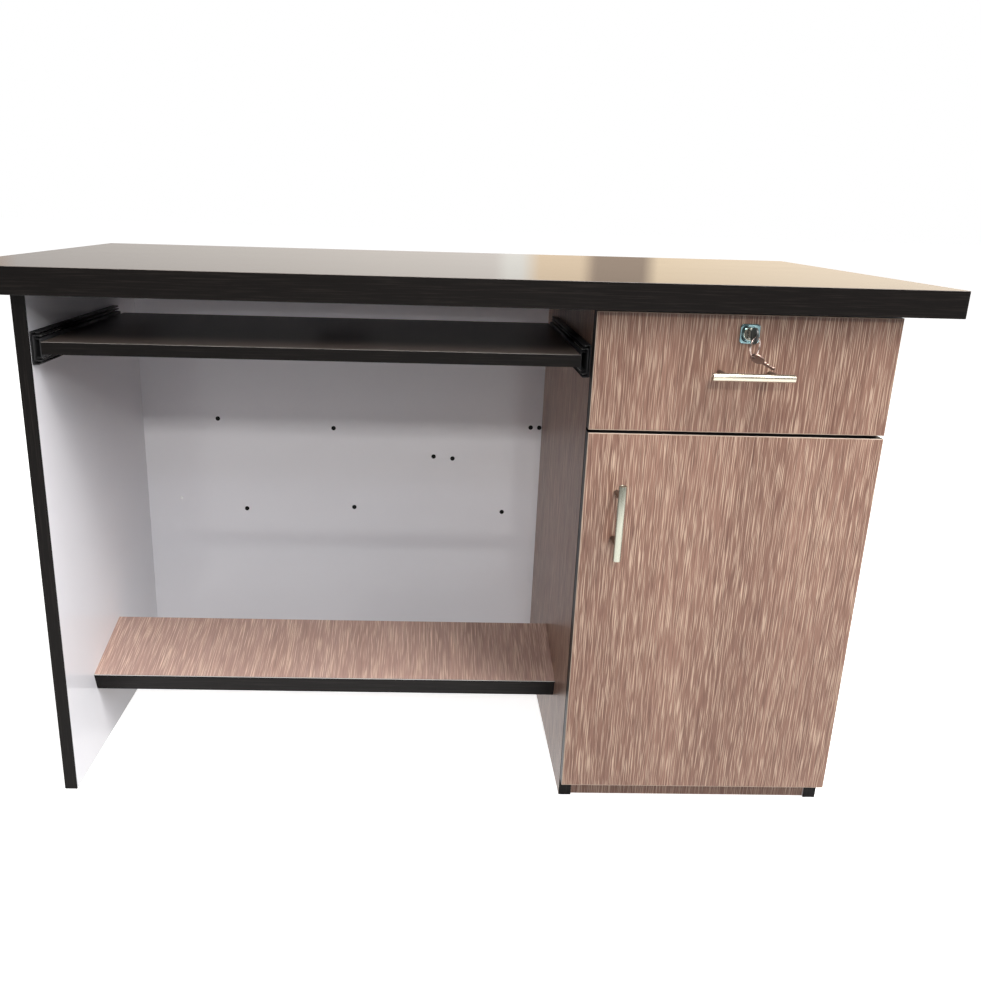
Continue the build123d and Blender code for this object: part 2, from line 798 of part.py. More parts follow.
with BuildPart() as lock_bolt:
    with BuildSketch(Plane((lock_x, bolt_y, bolt_low), x_dir=(1, 0, 0), z_dir=(0, 0, 1))):
        Rectangle(bolt_size[0], bolt_size[1])
    extrude(amount=bolt_size[2])
    chamfer(faces().sort_by(Axis.Z)[-1].edges(), arris)
    with BuildSketch(Plane((lock_x, bolt_y, lock_z - crank), x_dir=(1, 0, 0), z_dir=(0, -1, 0))):
        with Locations((-crank / 2, 0)):
            Rectangle(crank + 2 * slot_play, 2 * slot_half)
    extrude(amount=bolt_size[1], both=True, mode=Mode.SUBTRACT)

with BuildPart() as lock_keeper:
    with BuildSketch(Plane.XY.offset(top_under)):
        with Locations((lock_x, bolt_y)):
            Rectangle(keeper_size[0], keeper_size[1])
            Rectangle(mortise_x, mortise_y, mode=Mode.SUBTRACT)
    extrude(amount=keeper_thick)

key_shoulder = plug_front - key_blade_out
bow_hole_y = key_shoulder - bow_length + bow_hole_end
with BuildPart() as key_blade:
    with BuildSketch(
        Plane((lock_x, plug_front + key_blade_in, lock_z), x_dir=(1, 0, 0), z_dir=(0, -1, 0))
    ):
        Rectangle(key_blade_thick, key_blade_height)
    extrude(amount=key_blade_in + key_blade_out)

with BuildPart() as key_bow:
    with BuildSketch(
        Plane((lock_x, key_shoulder - bow_length / 2, lock_z), x_dir=(0, 1, 0), z_dir=(1, 0, 0))
    ):
        Ellipse(bow_length / 2, bow_width / 2)
        with Locations((bow_hole_end - bow_length / 2, 0)):
            Circle(bow_hole_radius, mode=Mode.SUBTRACT)
    extrude(amount=bow_thick / 2, both=True)

ring_top = lock_z - bow_hole_radius + ring_wire + ring_play
yaw = radians(ring_yaw)
ring_plane = Plane(
    (lock_x, bow_hole_y, ring_top - ring_radius), x_dir=(0, 0, 1), z_dir=(-sin(yaw), cos(yaw), 0)
)
with BuildPart() as key_ring:
    with BuildSketch(Plane(ring_plane.origin + ring_plane.x_dir * ring_radius, z_dir=ring_plane.y_dir)):
        Circle(ring_wire)
    revolve(axis=Axis(ring_plane.origin, ring_plane.z_dir))

turn = radians(spare_yaw)
droop = radians(spare_droop)
spare_hole_z = ring_top - 2 * ring_radius - spare_hole_radius + ring_wire + ring_play
spare_plane = Plane(
    (lock_x, bow_hole_y, spare_hole_z),
    x_dir=(sin(turn) * cos(droop), -cos(turn) * cos(droop), -sin(droop)),
    z_dir=(cos(turn), sin(turn), 0),
)
with BuildPart() as spare_key:
    with BuildSketch(spare_plane):
        with Locations((spare_bow_radius - spare_hole_radius - spare_hole_end, 0)):
            Circle(spare_bow_radius)
        with Locations((spare_bow_radius, -spare_blade_width / 2)):
            Rectangle(spare_length - spare_bow_radius, spare_blade_width, align=low)
        Circle(spare_hole_radius, mode=Mode.SUBTRACT)
    extrude(amount=key_blade_thick / 2, both=True)

# desktop brackets
with BuildPart() as desktop_brackets:
    for wall, lean in ((knee_left, 1), (knee_right, -1), (inside_left, 1), (inside_right, -1)):
        for bracket_y in (front + bracket_front_set, back - bracket_back_set):
            reach = min(wall, wall + lean * bracket_leg)
            with BuildSketch(Plane.XY.offset(top_under)):
                with Locations((reach, bracket_y)):
                    Rectangle(bracket_leg, bracket_width, align=low)
            extrude(amount=-bracket_sheet)
            with BuildSketch(Plane.XY.offset(top_under - bracket_sheet)):
                with Locations((min(wall, wall + lean * bracket_sheet), bracket_y)):
                    Rectangle(bracket_sheet, bracket_width, align=low)
            extrude(amount=-bracket_leg + bracket_sheet)

pieces = {
    "desktop_board": desktop_board,
    "desktop_build_up": desktop_build_up,
    "desktop_cross_battens": desktop_cross_battens,
    "desktop_edge_band": desktop_edge_band,
    "left_end_panel": left_end_panel,
    "pedestal_left_panel": pedestal_left_panel,
    "pedestal_right_panel": pedestal_right_panel,
    "panel_edge_bands": panel_edge_bands,
    "modesty_panel": modesty_panel,
    "modesty_fascia": modesty_fascia,
    "modesty_screws": modesty_screws,
    "foot_shelf": foot_shelf,
    "foot_shelf_build_up": foot_shelf_build_up,
    "foot_shelf_edge_band": foot_shelf_edge_band,
    "foot_shelf_brackets": foot_shelf_brackets,
    "plinth_board": plinth_board,
    "pedestal_bottom": pedestal_bottom,
    "pedestal_back": pedestal_back,
    "divider_rail": divider_rail,
    "cabinet_shelf": cabinet_shelf,
    "shelf_pins": shelf_pins,
    "desktop_brackets": desktop_brackets,
    "tray_slide_outer_members": tray_slide_outer_members,
    "drawer_slide_outer_members": drawer_slide_outer_members,
    "slide_fixing_screws": slide_fixing_screws,
    "hinge_arms": hinge_arms,
    "hinge_plates": hinge_plates,
    "lock_keeper": lock_keeper,
    "tray_slide_middle_members": tray_slide_middle_members,
    "tray_slide_inner_members": tray_slide_inner_members,
    "tray_slide_screws": tray_slide_screws,
    "keyboard_tray": keyboard_tray,
    "keyboard_tray_edge_band": keyboard_tray_edge_band,
    "drawer_slide_middle_members": drawer_slide_middle_members,
    "drawer_slide_inner_members": drawer_slide_inner_members,
    "drawer_slide_screws": drawer_slide_screws,
    "drawer_box_bottom": drawer_box_bottom,
    "drawer_box_front": drawer_box_front,
    "drawer_box_left_side": drawer_box_left_side,
    "drawer_box_right_side": drawer_box_right_side,
    "drawer_box_back": drawer_box_back,
    "drawer_front": drawer_front,
    "drawer_front_edge_bands": drawer_front_edge_bands,
    "drawer_front_screws": drawer_front_screws,
    "drawer_handle_bar": drawer_handle_bar,
    "drawer_handle_posts": drawer_handle_posts,
    "lock_bezel": lock_bezel,
    "lock_body": lock_body,
    "lock_cylinder": lock_cylinder,
    "lock_bolt": lock_bolt,
    "key_blade": key_blade,
    "key_bow": key_bow,
    "key_ring": key_ring,
    "spare_key": spare_key,
    "door_panel": door_panel,
    "door_edge_bands": door_edge_bands,
    "door_handle_bar": door_handle_bar,
    "door_handle_posts": door_handle_posts,
    "hinge_cups": hinge_cups,
    "hinge_pins": hinge_pins,
}
for name, piece in pieces.items():
    piece.part.label = name
    export_step(piece.part, f"parts/{name}.step")
    print(name, len(piece.part.solids()), round(piece.part.volume))

print("lock axis", lock_x, lock_z, "bow hole", bow_hole_y)
print("hinge axis", hinge_x, hinge_y, "drawer box", box_left, box_low, box_end)
print("knee", knee_left, knee_right, "front", front, "back", back, "underside", top_under)
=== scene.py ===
# Computer desk with a keyboard tray, a foot shelf and a lockable pedestal.
# Metres, +X to the sitter's right, +Y away from the sitter, +Z up.
import math

import bmesh
import bpy
from mathutils import Matrix, Vector


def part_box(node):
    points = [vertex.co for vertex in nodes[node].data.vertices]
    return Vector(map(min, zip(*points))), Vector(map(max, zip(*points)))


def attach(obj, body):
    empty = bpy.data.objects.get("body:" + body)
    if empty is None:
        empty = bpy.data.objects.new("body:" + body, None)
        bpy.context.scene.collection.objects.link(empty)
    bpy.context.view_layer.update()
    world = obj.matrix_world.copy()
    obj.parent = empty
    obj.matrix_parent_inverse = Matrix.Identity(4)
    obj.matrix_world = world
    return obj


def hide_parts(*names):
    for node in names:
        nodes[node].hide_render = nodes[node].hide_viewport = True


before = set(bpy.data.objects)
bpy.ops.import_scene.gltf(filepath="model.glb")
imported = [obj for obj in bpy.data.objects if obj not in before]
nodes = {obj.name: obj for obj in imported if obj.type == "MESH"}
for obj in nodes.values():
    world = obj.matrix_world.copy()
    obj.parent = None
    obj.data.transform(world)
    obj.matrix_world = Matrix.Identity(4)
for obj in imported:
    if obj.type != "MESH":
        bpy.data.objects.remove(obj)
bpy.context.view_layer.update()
scene = bpy.context.scene
mm = 0.001
print("frame loaded:", len(nodes), "nodes")


# shader building blocks
def addNode(tree, kind, inputs=None, **settings):
    node = tree.nodes.new("ShaderNode" + kind)
    for name, value in settings.items():
        setattr(node, name, value)
    for name, value in (inputs or {}).items():
        if isinstance(value, bpy.types.NodeSocket):
            tree.links.new(value, node.inputs[name])
        else:
            node.inputs[name].default_value = value
    return node


def startMaterial(name, roughness=0.5, metallic=0.0, specular=0.5):
    material = bpy.data.materials.new(name)
    material.use_nodes = True
    tree = material.node_tree
    shader = tree.nodes["Principled BSDF"]
    shader.inputs["Roughness"].default_value = roughness
    shader.inputs["Metallic"].default_value = metallic
    shader.inputs["Specular IOR Level"].default_value = specular
    return material, tree, shader


def calc(tree, operation, first, second=0.0, third=0.0):
    inputs = {0: first, 1: second}
    if operation == "MULTIPLY_ADD":
        inputs[2] = third
    return addNode(tree, "Math", inputs, operation=operation).outputs[0]


def blendColour(tree, amount, first, second):
    node = addNode(tree, "Mix", data_type="RGBA")
    for place, value in ((0, amount), (6, first), (7, second)):
        if isinstance(value, bpy.types.NodeSocket):
            tree.links.new(value, node.inputs[place])
        elif place == 0:
            node.inputs[place].default_value = value
        else:
            node.inputs[place].default_value = (*value, 1)
    return node.outputs[2]


def noiseAt(tree, vector, stretch, detail=2.0, roughness=0.5, shift=(0, 0, 0)):
    place = addNode(tree, "Mapping", {"Vector": vector, "Scale": stretch, "Location": shift})
    noise = addNode(tree, "TexNoise", {"Vector": place.outputs[0], "Scale": 1.0,
                                       "Detail": detail, "Roughness": roughness})
    return noise.outputs[0]


def ramp(tree, value, low, high):
    return addNode(tree, "MapRange", {"Value": value, "From Min": low, "From Max": high},
                   interpolation_type="SMOOTHSTEP").outputs[0]


def setBump(tree, shader, height, strength, distance):
    bump = addNode(tree, "Bump", {"Height": height, "Strength": strength, "Distance": distance})
    tree.links.new(bump.outputs[0], shader.inputs["Normal"])


def grainVector(tree, along="Z", tilt=0.0):
    # object coordinates turned so that the grain runs along the third axis
    place = addNode(tree, "TexCoord").outputs["Object"]
    if tilt:
        place = addNode(tree, "Mapping", {"Vector": place, "Rotation": (tilt, 0, 0)}).outputs[0]
    if along == "Z":
        return place
    parts = addNode(tree, "SeparateXYZ", {0: place}).outputs
    order = {"X": (1, 2, 0), "Y": (0, 2, 1)}[along]
    return addNode(tree, "CombineXYZ", {i: parts[k] for i, k in enumerate(order)}).outputs[0]


# laminates
brownLook = dict(
    light=(0.348, 0.196, 0.141), dark=(0.243, 0.128, 0.090), streak=(0.190, 0.096, 0.068),
    cream=(0.76, 0.57, 0.425), pore=(0.105, 0.046, 0.030),
    bandStretch=(17, 17, 1.1), streakStretch=(420, 420, 6),
    creamStretch=(980, 980, 22), poreStretch=(840, 840, 18), patchStretch=(40, 40, 7),
)


def brownGrain(tree, vector):
    bands = ramp(tree, noiseAt(tree, vector, brownLook["bandStretch"], 3), 0.34, 0.66)
    colour = blendColour(tree, bands, brownLook["dark"], brownLook["light"])
    streaks = ramp(tree, noiseAt(tree, vector, brownLook["streakStretch"], 3, 0.6), 0.42, 0.74)
    colour = blendColour(tree, calc(tree, "MULTIPLY", streaks, 0.7), colour, brownLook["streak"])
    pores = ramp(tree, noiseAt(tree, vector, brownLook["poreStretch"], 1.5, 0.5, (7, 3, 1)),
                 0.50, 0.66)
    colour = blendColour(tree, calc(tree, "MULTIPLY", pores, 0.62), colour, brownLook["pore"])
    flecks = ramp(tree, noiseAt(tree, vector, brownLook["creamStretch"], 1.5, 0.5), 0.50, 0.66)
    patches = ramp(tree, noiseAt(tree, vector, brownLook["patchStretch"], 2, 0.5, (2, 9, 4)),
                   0.25, 0.7)
    flecks = calc(tree, "MULTIPLY", flecks, calc(tree, "MULTIPLY_ADD", patches, 0.28, 0.54))
    colour = blendColour(tree, flecks, colour, brownLook["cream"])
    height = calc(tree, "SUBTRACT", flecks, pores)
    return colour, height


wengeLook = dict(base=(0.0125, 0.0098, 0.0096), light=(0.034, 0.027, 0.0245),
                 stretch=(420, 420, 7), bandStretch=(30, 30, 1.2))


def wengeGrain(tree, vector):
    fine = ramp(tree, noiseAt(tree, vector, wengeLook["stretch"], 4, 0.6), 0.42, 0.74)
    bands = noiseAt(tree, vector, wengeLook["bandStretch"], 2)
    amount = calc(tree, "MULTIPLY", fine, calc(tree, "ADD", bands, 0.3))
    return blendColour(tree, amount, wengeLook["base"], wengeLook["light"]), fine


whiteLook = dict(base=(0.86, 0.855, 0.885), shade=(0.82, 0.815, 0.845))


def whiteSkin(tree, vector):
    clouds = noiseAt(tree, vector, (9, 9, 9), 3)
    return blendColour(tree, clouds, whiteLook["base"], whiteLook["shade"])


chipLook = dict(scale=420.0, dark=(0.33, 0.23, 0.135), light=(0.56, 0.43, 0.29),
                bark=(0.14, 0.085, 0.05))


def chipboard(tree, vector):
    chips = addNode(tree, "TexVoronoi", {"Vector": vector, "Scale": chipLook["scale"]})
    tone = addNode(tree, "SeparateColor", {0: chips.outputs["Color"]}).outputs[0]
    colour = blendColour(tree, tone, chipLook["dark"], chipLook["light"])
    return blendColour(tree, ramp(tree, tone, 0.86, 0.95), colour, chipLook["bark"])


def objectNormal(tree):
    return addNode(tree, "SeparateXYZ", {0: addNode(tree, "TexCoord").outputs["Normal"]}).outputs


boardLook = dict(bandEdge=(0.014, 0.013, 0.013), whiteEdge=(0.70, 0.69, 0.70),
                 whiteGloss=0.06, brownGloss=0.22, edgeGloss=0.25)


def facedBoard(name, thickAxis, middle, brownAbove, paintedShade=0.0):
    # board with woodgrain on one face and white on the other, and raw or banded edges; the brown
    # face can be darkened as painted shade
    material, tree, shader = startMaterial(name, 0.2, specular=0.35)
    plain = addNode(tree, "TexCoord").outputs["Object"]
    brown, height = brownGrain(tree, plain)
    # painted shade: the brown is darkened towards the pore colour by the given amount
    brown = blendColour(tree, paintedShade, brown, brownLook["pore"])
    white = whiteSkin(tree, plain)
    axis = "XYZ".index(thickAxis)
    spot = addNode(tree, "SeparateXYZ", {0: plain}).outputs[axis]
    isBrown = calc(tree, "GREATER_THAN" if brownAbove else "LESS_THAN", spot, middle)
    faces = blendColour(tree, isBrown, white, brown)
    normal = objectNormal(tree)
    across = calc(tree, "LESS_THAN", calc(tree, "ABSOLUTE", normal[axis]), 0.5)
    upright = calc(tree, "GREATER_THAN", calc(tree, "ABSOLUTE", normal[2]), 0.5)
    edges = blendColour(tree, upright, boardLook["bandEdge"], chipboard(tree, plain))
    if thickAxis == "Z":
        edges = boardLook["whiteEdge"]
    colour = blendColour(tree, across, faces, edges)
    tree.links.new(colour, shader.inputs["Base Color"])
    smear = noiseAt(tree, plain, (6, 6, 6), 4)
    gloss = calc(tree, "MULTIPLY_ADD", smear, 0.10, boardLook["whiteGloss"])
    gloss = calc(tree, "MULTIPLY_ADD", isBrown, boardLook["brownGloss"], gloss)
    gloss = calc(tree, "MULTIPLY_ADD", across, boardLook["edgeGloss"], gloss)
    tree.links.new(gloss, shader.inputs["Roughness"])
    setBump(tree, shader, calc(tree, "MULTIPLY", height, isBrown), 0.12, 0.0002)
    return material


bandLook = dict(dark=(0.0042, 0.0032, 0.0028), grain=(0.0150, 0.0120, 0.0104),
                scuff=(0.12, 0.12, 0.118), cutLine=0.0006, core=(0.007, 0.0065, 0.0065),
                pale=((0.42, 0.31, 0.24), (0.60, 0.48, 0.38)))


def bandMaterial(name, along, arrisHighlightColour, tilt=0.0):
    # satin black edge band whose front arris shows a thin pale line where it faces up: partly the
    # trimmed cut, partly a painted highlight
    material, tree, shader = startMaterial(name, 0.36, specular=0.10)
    vector = grainVector(tree, along, tilt)
    grain = ramp(tree, noiseAt(tree, vector, (520, 520, 16), 3, 0.6), 0.45, 0.8)
    dark = blendColour(tree, grain, bandLook["dark"], bandLook["grain"])
    scuffs = ramp(tree, noiseAt(tree, vector, (300, 300, 10), 5, 0.7, (5, 1, 8)), 0.70, 0.76)
    dark = blendColour(tree, calc(tree, "MULTIPLY", scuffs, 0.35), dark, bandLook["scuff"])
    normal = objectNormal(tree)
    # painted highlight: only arrises facing up and toward the sitter take the pale colour
    up = calc(tree, "GREATER_THAN", normal[2], 0.3)
    forward = calc(tree, "LESS_THAN", normal[1], -0.5)
    arrisHighlight = calc(tree, "MULTIPLY", up, forward)
    tree.links.new(blendColour(tree, arrisHighlight, dark, arrisHighlightColour), shader.inputs["Base Color"])
    setBump(tree, shader, grain, 0.15, 0.0002)
    return material


def frontBandMaterial(name, faceFront):
    # black band of a front: its outermost half millimetre is the pale cut line of the laminate
    material, tree, shader = startMaterial(name, 0.38, specular=0.2)
    plain = addNode(tree, "TexCoord").outputs["Object"]
    depth = addNode(tree, "SeparateXYZ", {0: plain}).outputs[1]
    cut = calc(tree, "LESS_THAN", depth, faceFront + bandLook["cutLine"])
    wear = noiseAt(tree, plain, (60, 60, 60), 3)
    pale = blendColour(tree, wear, *bandLook["pale"])
    tree.links.new(blendColour(tree, cut, bandLook["core"], pale), shader.inputs["Base Color"])
    return material


# a paler brown painted along the tray's front edge as painted light
paintedLightLook = dict(depth=0.085, strength=0.8, colour=(0.22, 0.172, 0.145))


def wengeMaterial(name, along="X", roughness=0.3, gloss=False, specular=0.5, paintedLightFront=0.0):
    material, tree, shader = startMaterial(name, roughness, specular=specular)
    vector = grainVector(tree, along)
    colour, fine = wengeGrain(tree, vector)
    tree.links.new(colour, shader.inputs["Base Color"])
    if gloss:
        plain = addNode(tree, "TexCoord").outputs["Object"]
        wipes = noiseAt(tree, plain, (3.5, 11, 5), 5, 0.6)
        tree.links.new(calc(tree, "MULTIPLY_ADD", wipes, 0.07, roughness),
                       shader.inputs["Roughness"])
    else:
        setBump(tree, shader, fine, 0.10, 0.0001)
    # painted light: towards the front edge the colour turns to a paler brown
    if paintedLightFront:
        depth = addNode(tree, "SeparateXYZ", {0: addNode(tree, "TexCoord").outputs["Object"]})
        near = ramp(tree, depth.outputs[1], paintedLightFront + paintedLightLook["depth"], paintedLightFront)
        near = calc(tree, "MULTIPLY", near, paintedLightLook["strength"])
        colour = blendColour(tree, near, colour, paintedLightLook["colour"])
        tree.links.new(colour, shader.inputs["Base Color"])
    return material


def metalMaterial(name, colour, roughness, along=None, stretch=(900, 900, 12), depth=0.05,
                  metallic=1.0, specular=0.5):
    # plated, painted or brushed steel, with the fine marks running along one axis
    material, tree, shader = startMaterial(name, roughness, metallic, specular)
    vector = grainVector(tree, along or "Z")
    marks = noiseAt(tree, vector, stretch, 3, 0.6)
    low = tuple(0.86 * c for c in colour)
    tree.links.new(blendColour(tree, marks, colour, low), shader.inputs["Base Color"])
    tree.links.new(calc(tree, "MULTIPLY_ADD", marks, 0.14, roughness - 0.07),
                   shader.inputs["Roughness"])
    setBump(tree, shader, marks, depth, 0.0001)
    return material


def plasticMaterial(name, colour, roughness, grainScale=1500.0):
    material, tree, shader = startMaterial(name, roughness)
    plain = addNode(tree, "TexCoord").outputs["Object"]
    grain = noiseAt(tree, plain, (grainScale,) * 3, 2)
    high = tuple(min(1.0, 1.5 * c + 0.004) for c in colour)
    tree.links.new(blendColour(tree, grain, colour, high), shader.inputs["Base Color"])
    setBump(tree, shader, grain, 0.12, 0.0001)
    return material


def rawBoardMaterial(name, dark):
    material, tree, shader = startMaterial(name, 0.6)
    plain = addNode(tree, "TexCoord").outputs["Object"]
    colour = chipboard(tree, plain)
    if dark:
        vector = grainVector(tree, "X")
        face, fine = wengeGrain(tree, vector)
        normal = objectNormal(tree)
        flat = calc(tree, "GREATER_THAN", calc(tree, "ABSOLUTE", normal[2]), 0.5)
        colour = blendColour(tree, flat, colour, face)
    tree.links.new(colour, shader.inputs["Base Color"])
    setBump(tree, shader, noiseAt(tree, plain, (900, 900, 900), 2), 0.2, 0.0003)
    return material


def middleOf(node, axis):
    low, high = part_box(node)
    return (low[axis] + high[axis]) / 2


# a patchy pale haze mixed into the foot shelf's colour as painted sheen
footLook = dict(tilt=math.radians(16.4), paintedSheen=(0.80, 0.60, 0.55), paintedSheenLow=0.14, paintedSheenSpread=0.24)


def footBoardMaterial():
    # woodgrain following the tilted shelf, with a pale painted sheen over it
    material, tree, shader = startMaterial("footBoard", 0.33)
    vector = grainVector(tree, "Y", -footLook["tilt"])
    brown, height = brownGrain(tree, vector)
    # painted sheen: a patchy pale haze blended over the whole shelf
    paintedSheen = calc(tree, "MULTIPLY_ADD", noiseAt(tree, vector, (14, 14, 8), 4, 0.6),
                footLook["paintedSheenSpread"], footLook["paintedSheenLow"])
    tree.links.new(blendColour(tree, paintedSheen, brown, footLook["paintedSheen"]), shader.inputs["Base Color"])
    setBump(tree, shader, height, 0.12, 0.0002)
    return material


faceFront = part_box("drawer_front")[0][1]

look = {
    "wengeTop": wengeMaterial("wengeTop", "X", 0.04, gloss=True),
    "wengeEdge": bandMaterial("wengeEdge", "X", (0.16, 0.14, 0.13)),
    # painted light along the tray's front edge
    "wengeTray": wengeMaterial("wengeTray", "X", 0.32, specular=0.12,
                               paintedLightFront=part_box("keyboard_tray")[0][1]),
    "wengeFascia": wengeMaterial("wengeFascia", "X", 0.25),
    "leftPanel": facedBoard("leftPanel", "X", middleOf("left_end_panel", 0), False),
    # the last number given to facedBoard is painted shade on the brown face
    "pedestalLeft": facedBoard("pedestalLeft", "X", middleOf("pedestal_left_panel", 0), False,
                               0.10),
    "pedestalRight": facedBoard("pedestalRight", "X", middleOf("pedestal_right_panel", 0), True),
    "modestyBoard": facedBoard("modestyBoard", "Y", middleOf("modesty_panel", 1), True),
    "backBoard": facedBoard("backBoard", "Y", middleOf("pedestal_back", 1), True),
    # painted shade on the door, drawer and plinth fronts: the last number darkens their brown
    "frontBoard": facedBoard("frontBoard", "Y", middleOf("door_panel", 1), False, 0.08),
    "drawerBoard": facedBoard("drawerBoard", "Y", middleOf("drawer_front", 1), False, 0.22),
    "plinthBoard": facedBoard("plinthBoard", "Y", middleOf("plinth_board", 1), False, 0.24),
    "innerBoard": facedBoard("innerBoard", "Z", -1.0, False),
    "panelBand": bandMaterial("panelBand", "Z", (0.012, 0.012, 0.012)),
    "footBand": bandMaterial("footBand", "X", (0.80, 0.76, 0.72)),
    "trayBand": bandMaterial("trayBand", "X", (0.36, 0.33, 0.31)),
    "frontBand": frontBandMaterial("frontBand", faceFront),
    "rawBoard": rawBoardMaterial("rawBoard", True),
    "chipBoard": rawBoardMaterial("chipBoard", False),
    "blackSteel": metalMaterial("blackSteel", (0.013, 0.013, 0.014), 0.40, "Y",
                                (60, 60, 60), 0.03, 0.2, 0.25),
    "blackScrew": metalMaterial("blackScrew", (0.003, 0.003, 0.003), 0.50, "Z",
                                (700, 700, 700), 0.05, 0.0, 0.1),
    "zinc": metalMaterial("zinc", (0.56, 0.56, 0.54), 0.34, "Z", (170, 170, 170), 0.05),
    "brushedX": metalMaterial("brushedX", (0.52, 0.48, 0.39), 0.27, "Y", (26, 2600, 2600), 0.12),
    "brushedZ": metalMaterial("brushedZ", (0.38, 0.385, 0.32), 0.28, "Z", (2600, 2600, 26), 0.12),
    # painted shade and reflection: the posts' steel is dark brown
    "postSteelPaintedShade": metalMaterial("postSteelPaintedShade", (0.20, 0.17, 0.145), 0.30, "Z", (400, 400, 400), 0.03),
    # painted reflection: the chrome's base colour is a dark teal
    "chrome": metalMaterial("chrome", (0.22, 0.34, 0.36), 0.10, "Z", (90, 90, 90), 0.01),
    "plugMetal": metalMaterial("plugMetal", (0.42, 0.42, 0.36), 0.22, "Z", (300, 300, 300), 0.03),
    # painted reflection: the key steel is tinted pink like the wood it reflects
    "keySteelPaintedReflection": metalMaterial("keySteelPaintedReflection", (0.56, 0.47, 0.43), 0.20, "Z", (500, 500, 500), 0.05),
    # painted shade and reflection: the spare key's steel is dark brown
    "spareSteelPaintedShade": metalMaterial("spareSteelPaintedShade", (0.19, 0.13, 0.11), 0.38, "Z", (500, 500, 500), 0.05),
    "keyPlastic": plasticMaterial("keyPlastic", (0.012, 0.013, 0.012), 0.38),
    "footBoard": footBoardMaterial(),
    "whiteCap": plasticMaterial("whiteCap", (0.90, 0.90, 0.90), 0.35),
}

finishOf = {
    "wengeTop": ["desktop_board"],
    "wengeEdge": ["desktop_edge_band"],
    "wengeTray": ["keyboard_tray"],
    "wengeFascia": ["modesty_fascia"],
    "leftPanel": ["left_end_panel"],
    "pedestalLeft": ["pedestal_left_panel"],
    "pedestalRight": ["pedestal_right_panel"],
    "modestyBoard": ["modesty_panel"],
    "backBoard": ["pedestal_back"],
    "frontBoard": ["door_panel"],
    "drawerBoard": ["drawer_front"],
    "plinthBoard": ["plinth_board"],
    "innerBoard": ["pedestal_bottom", "cabinet_shelf", "divider_rail", "drawer_box_bottom",
                   "drawer_box_front", "drawer_box_left_side", "drawer_box_right_side",
                   "drawer_box_back"],
    "panelBand": ["panel_edge_bands"],
    "footBand": ["foot_shelf_edge_band"],
    "trayBand": ["keyboard_tray_edge_band"],
    "frontBand": ["drawer_front_edge_bands", "door_edge_bands"],
    "rawBoard": ["desktop_build_up", "desktop_cross_battens"],
    "chipBoard": ["foot_shelf_build_up"],
    "footBoard": ["foot_shelf"],
    "blackSteel": ["tray_slide_outer_members", "tray_slide_middle_members",
                   "tray_slide_inner_members", "drawer_slide_outer_members",
                   "drawer_slide_middle_members", "drawer_slide_inner_members"],
    "blackScrew": ["modesty_screws", "slide_fixing_screws", "tray_slide_screws",
                   "drawer_slide_screws", "drawer_front_screws"],
    "zinc": ["desktop_brackets", "foot_shelf_brackets", "shelf_pins", "hinge_arms",
             "hinge_plates", "hinge_cups", "hinge_pins", "lock_keeper", "lock_body", "lock_bolt"],
    "brushedX": ["drawer_handle_bar"],
    "postSteelPaintedShade": ["drawer_handle_posts", "door_handle_posts"],
    "brushedZ": ["door_handle_bar"],
    "chrome": ["lock_bezel", "lock_cylinder"],
    "keySteelPaintedReflection": ["key_blade", "key_ring", "spare_key"],
    "keyPlastic": ["key_bow"],
}
for finish, members in finishOf.items():
    for member in members:
        nodes[member].data.materials.clear()
        nodes[member].data.materials.append(look[finish])
print("finishes given to", sum(len(members) for members in finishOf.values()), "nodes")


# floor, lights and camera
floorLook = dict(halfSide=30.0, colour=(0.80, 0.80, 0.80), glow=0.78)


def makeFloor():
    shape = bmesh.new()
    bmesh.ops.create_grid(shape, x_segments=1, y_segments=1, size=floorLook["halfSide"])
    mesh = bpy.data.meshes.new("floor")
    shape.to_mesh(mesh)
    shape.free()
    floor = bpy.data.objects.new("floor", mesh)
    scene.collection.objects.link(floor)
    material, tree, shader = startMaterial("paleFloor", 0.7)
    shader.inputs["Base Color"].default_value = (*floorLook["colour"], 1)
    shader.inputs["Emission Color"].default_value = (1, 1, 1, 1)
    shader.inputs["Emission Strength"].default_value = floorLook["glow"]
    mesh.materials.append(material)
    floor.visible_diffuse = False  # the glow stays out of the object's own shading


makeFloor()

lights = dict(
    keyRight=dict(azimuth=45, elevation=33, distance=4.2, size=(1.6, 0.40), power=14,
                  colour=(1.0, 0.98, 0.965)),
    skyRight=dict(azimuth=45, elevation=54, distance=3.8, size=(1.5, 1.5), power=125,
                  colour=(1.0, 0.985, 0.97)),
    sideRight=dict(azimuth=68, elevation=20, distance=4.0, size=(1.4, 1.0), power=40,
                   colour=(0.97, 0.97, 1.0)),
    lowFront=dict(azimuth=1, elevation=27, distance=3.2, size=(0.40, 0.22), power=26,
                  colour=(1.0, 0.985, 0.96)),
    highFront=dict(azimuth=3, elevation=36, distance=3.5, size=(0.45, 0.25), power=6,
                   colour=(0.80, 0.86, 1.0)),
    ceilingFront=dict(azimuth=20, elevation=75, distance=3.0, size=(1.2, 0.5), power=62,
                      colour=(1.0, 0.985, 0.96)),
    backFill=dict(azimuth=200, elevation=30, distance=4.0, size=(2.5, 2.0), power=45,
                  colour=(1.0, 1.0, 1.0)),
)


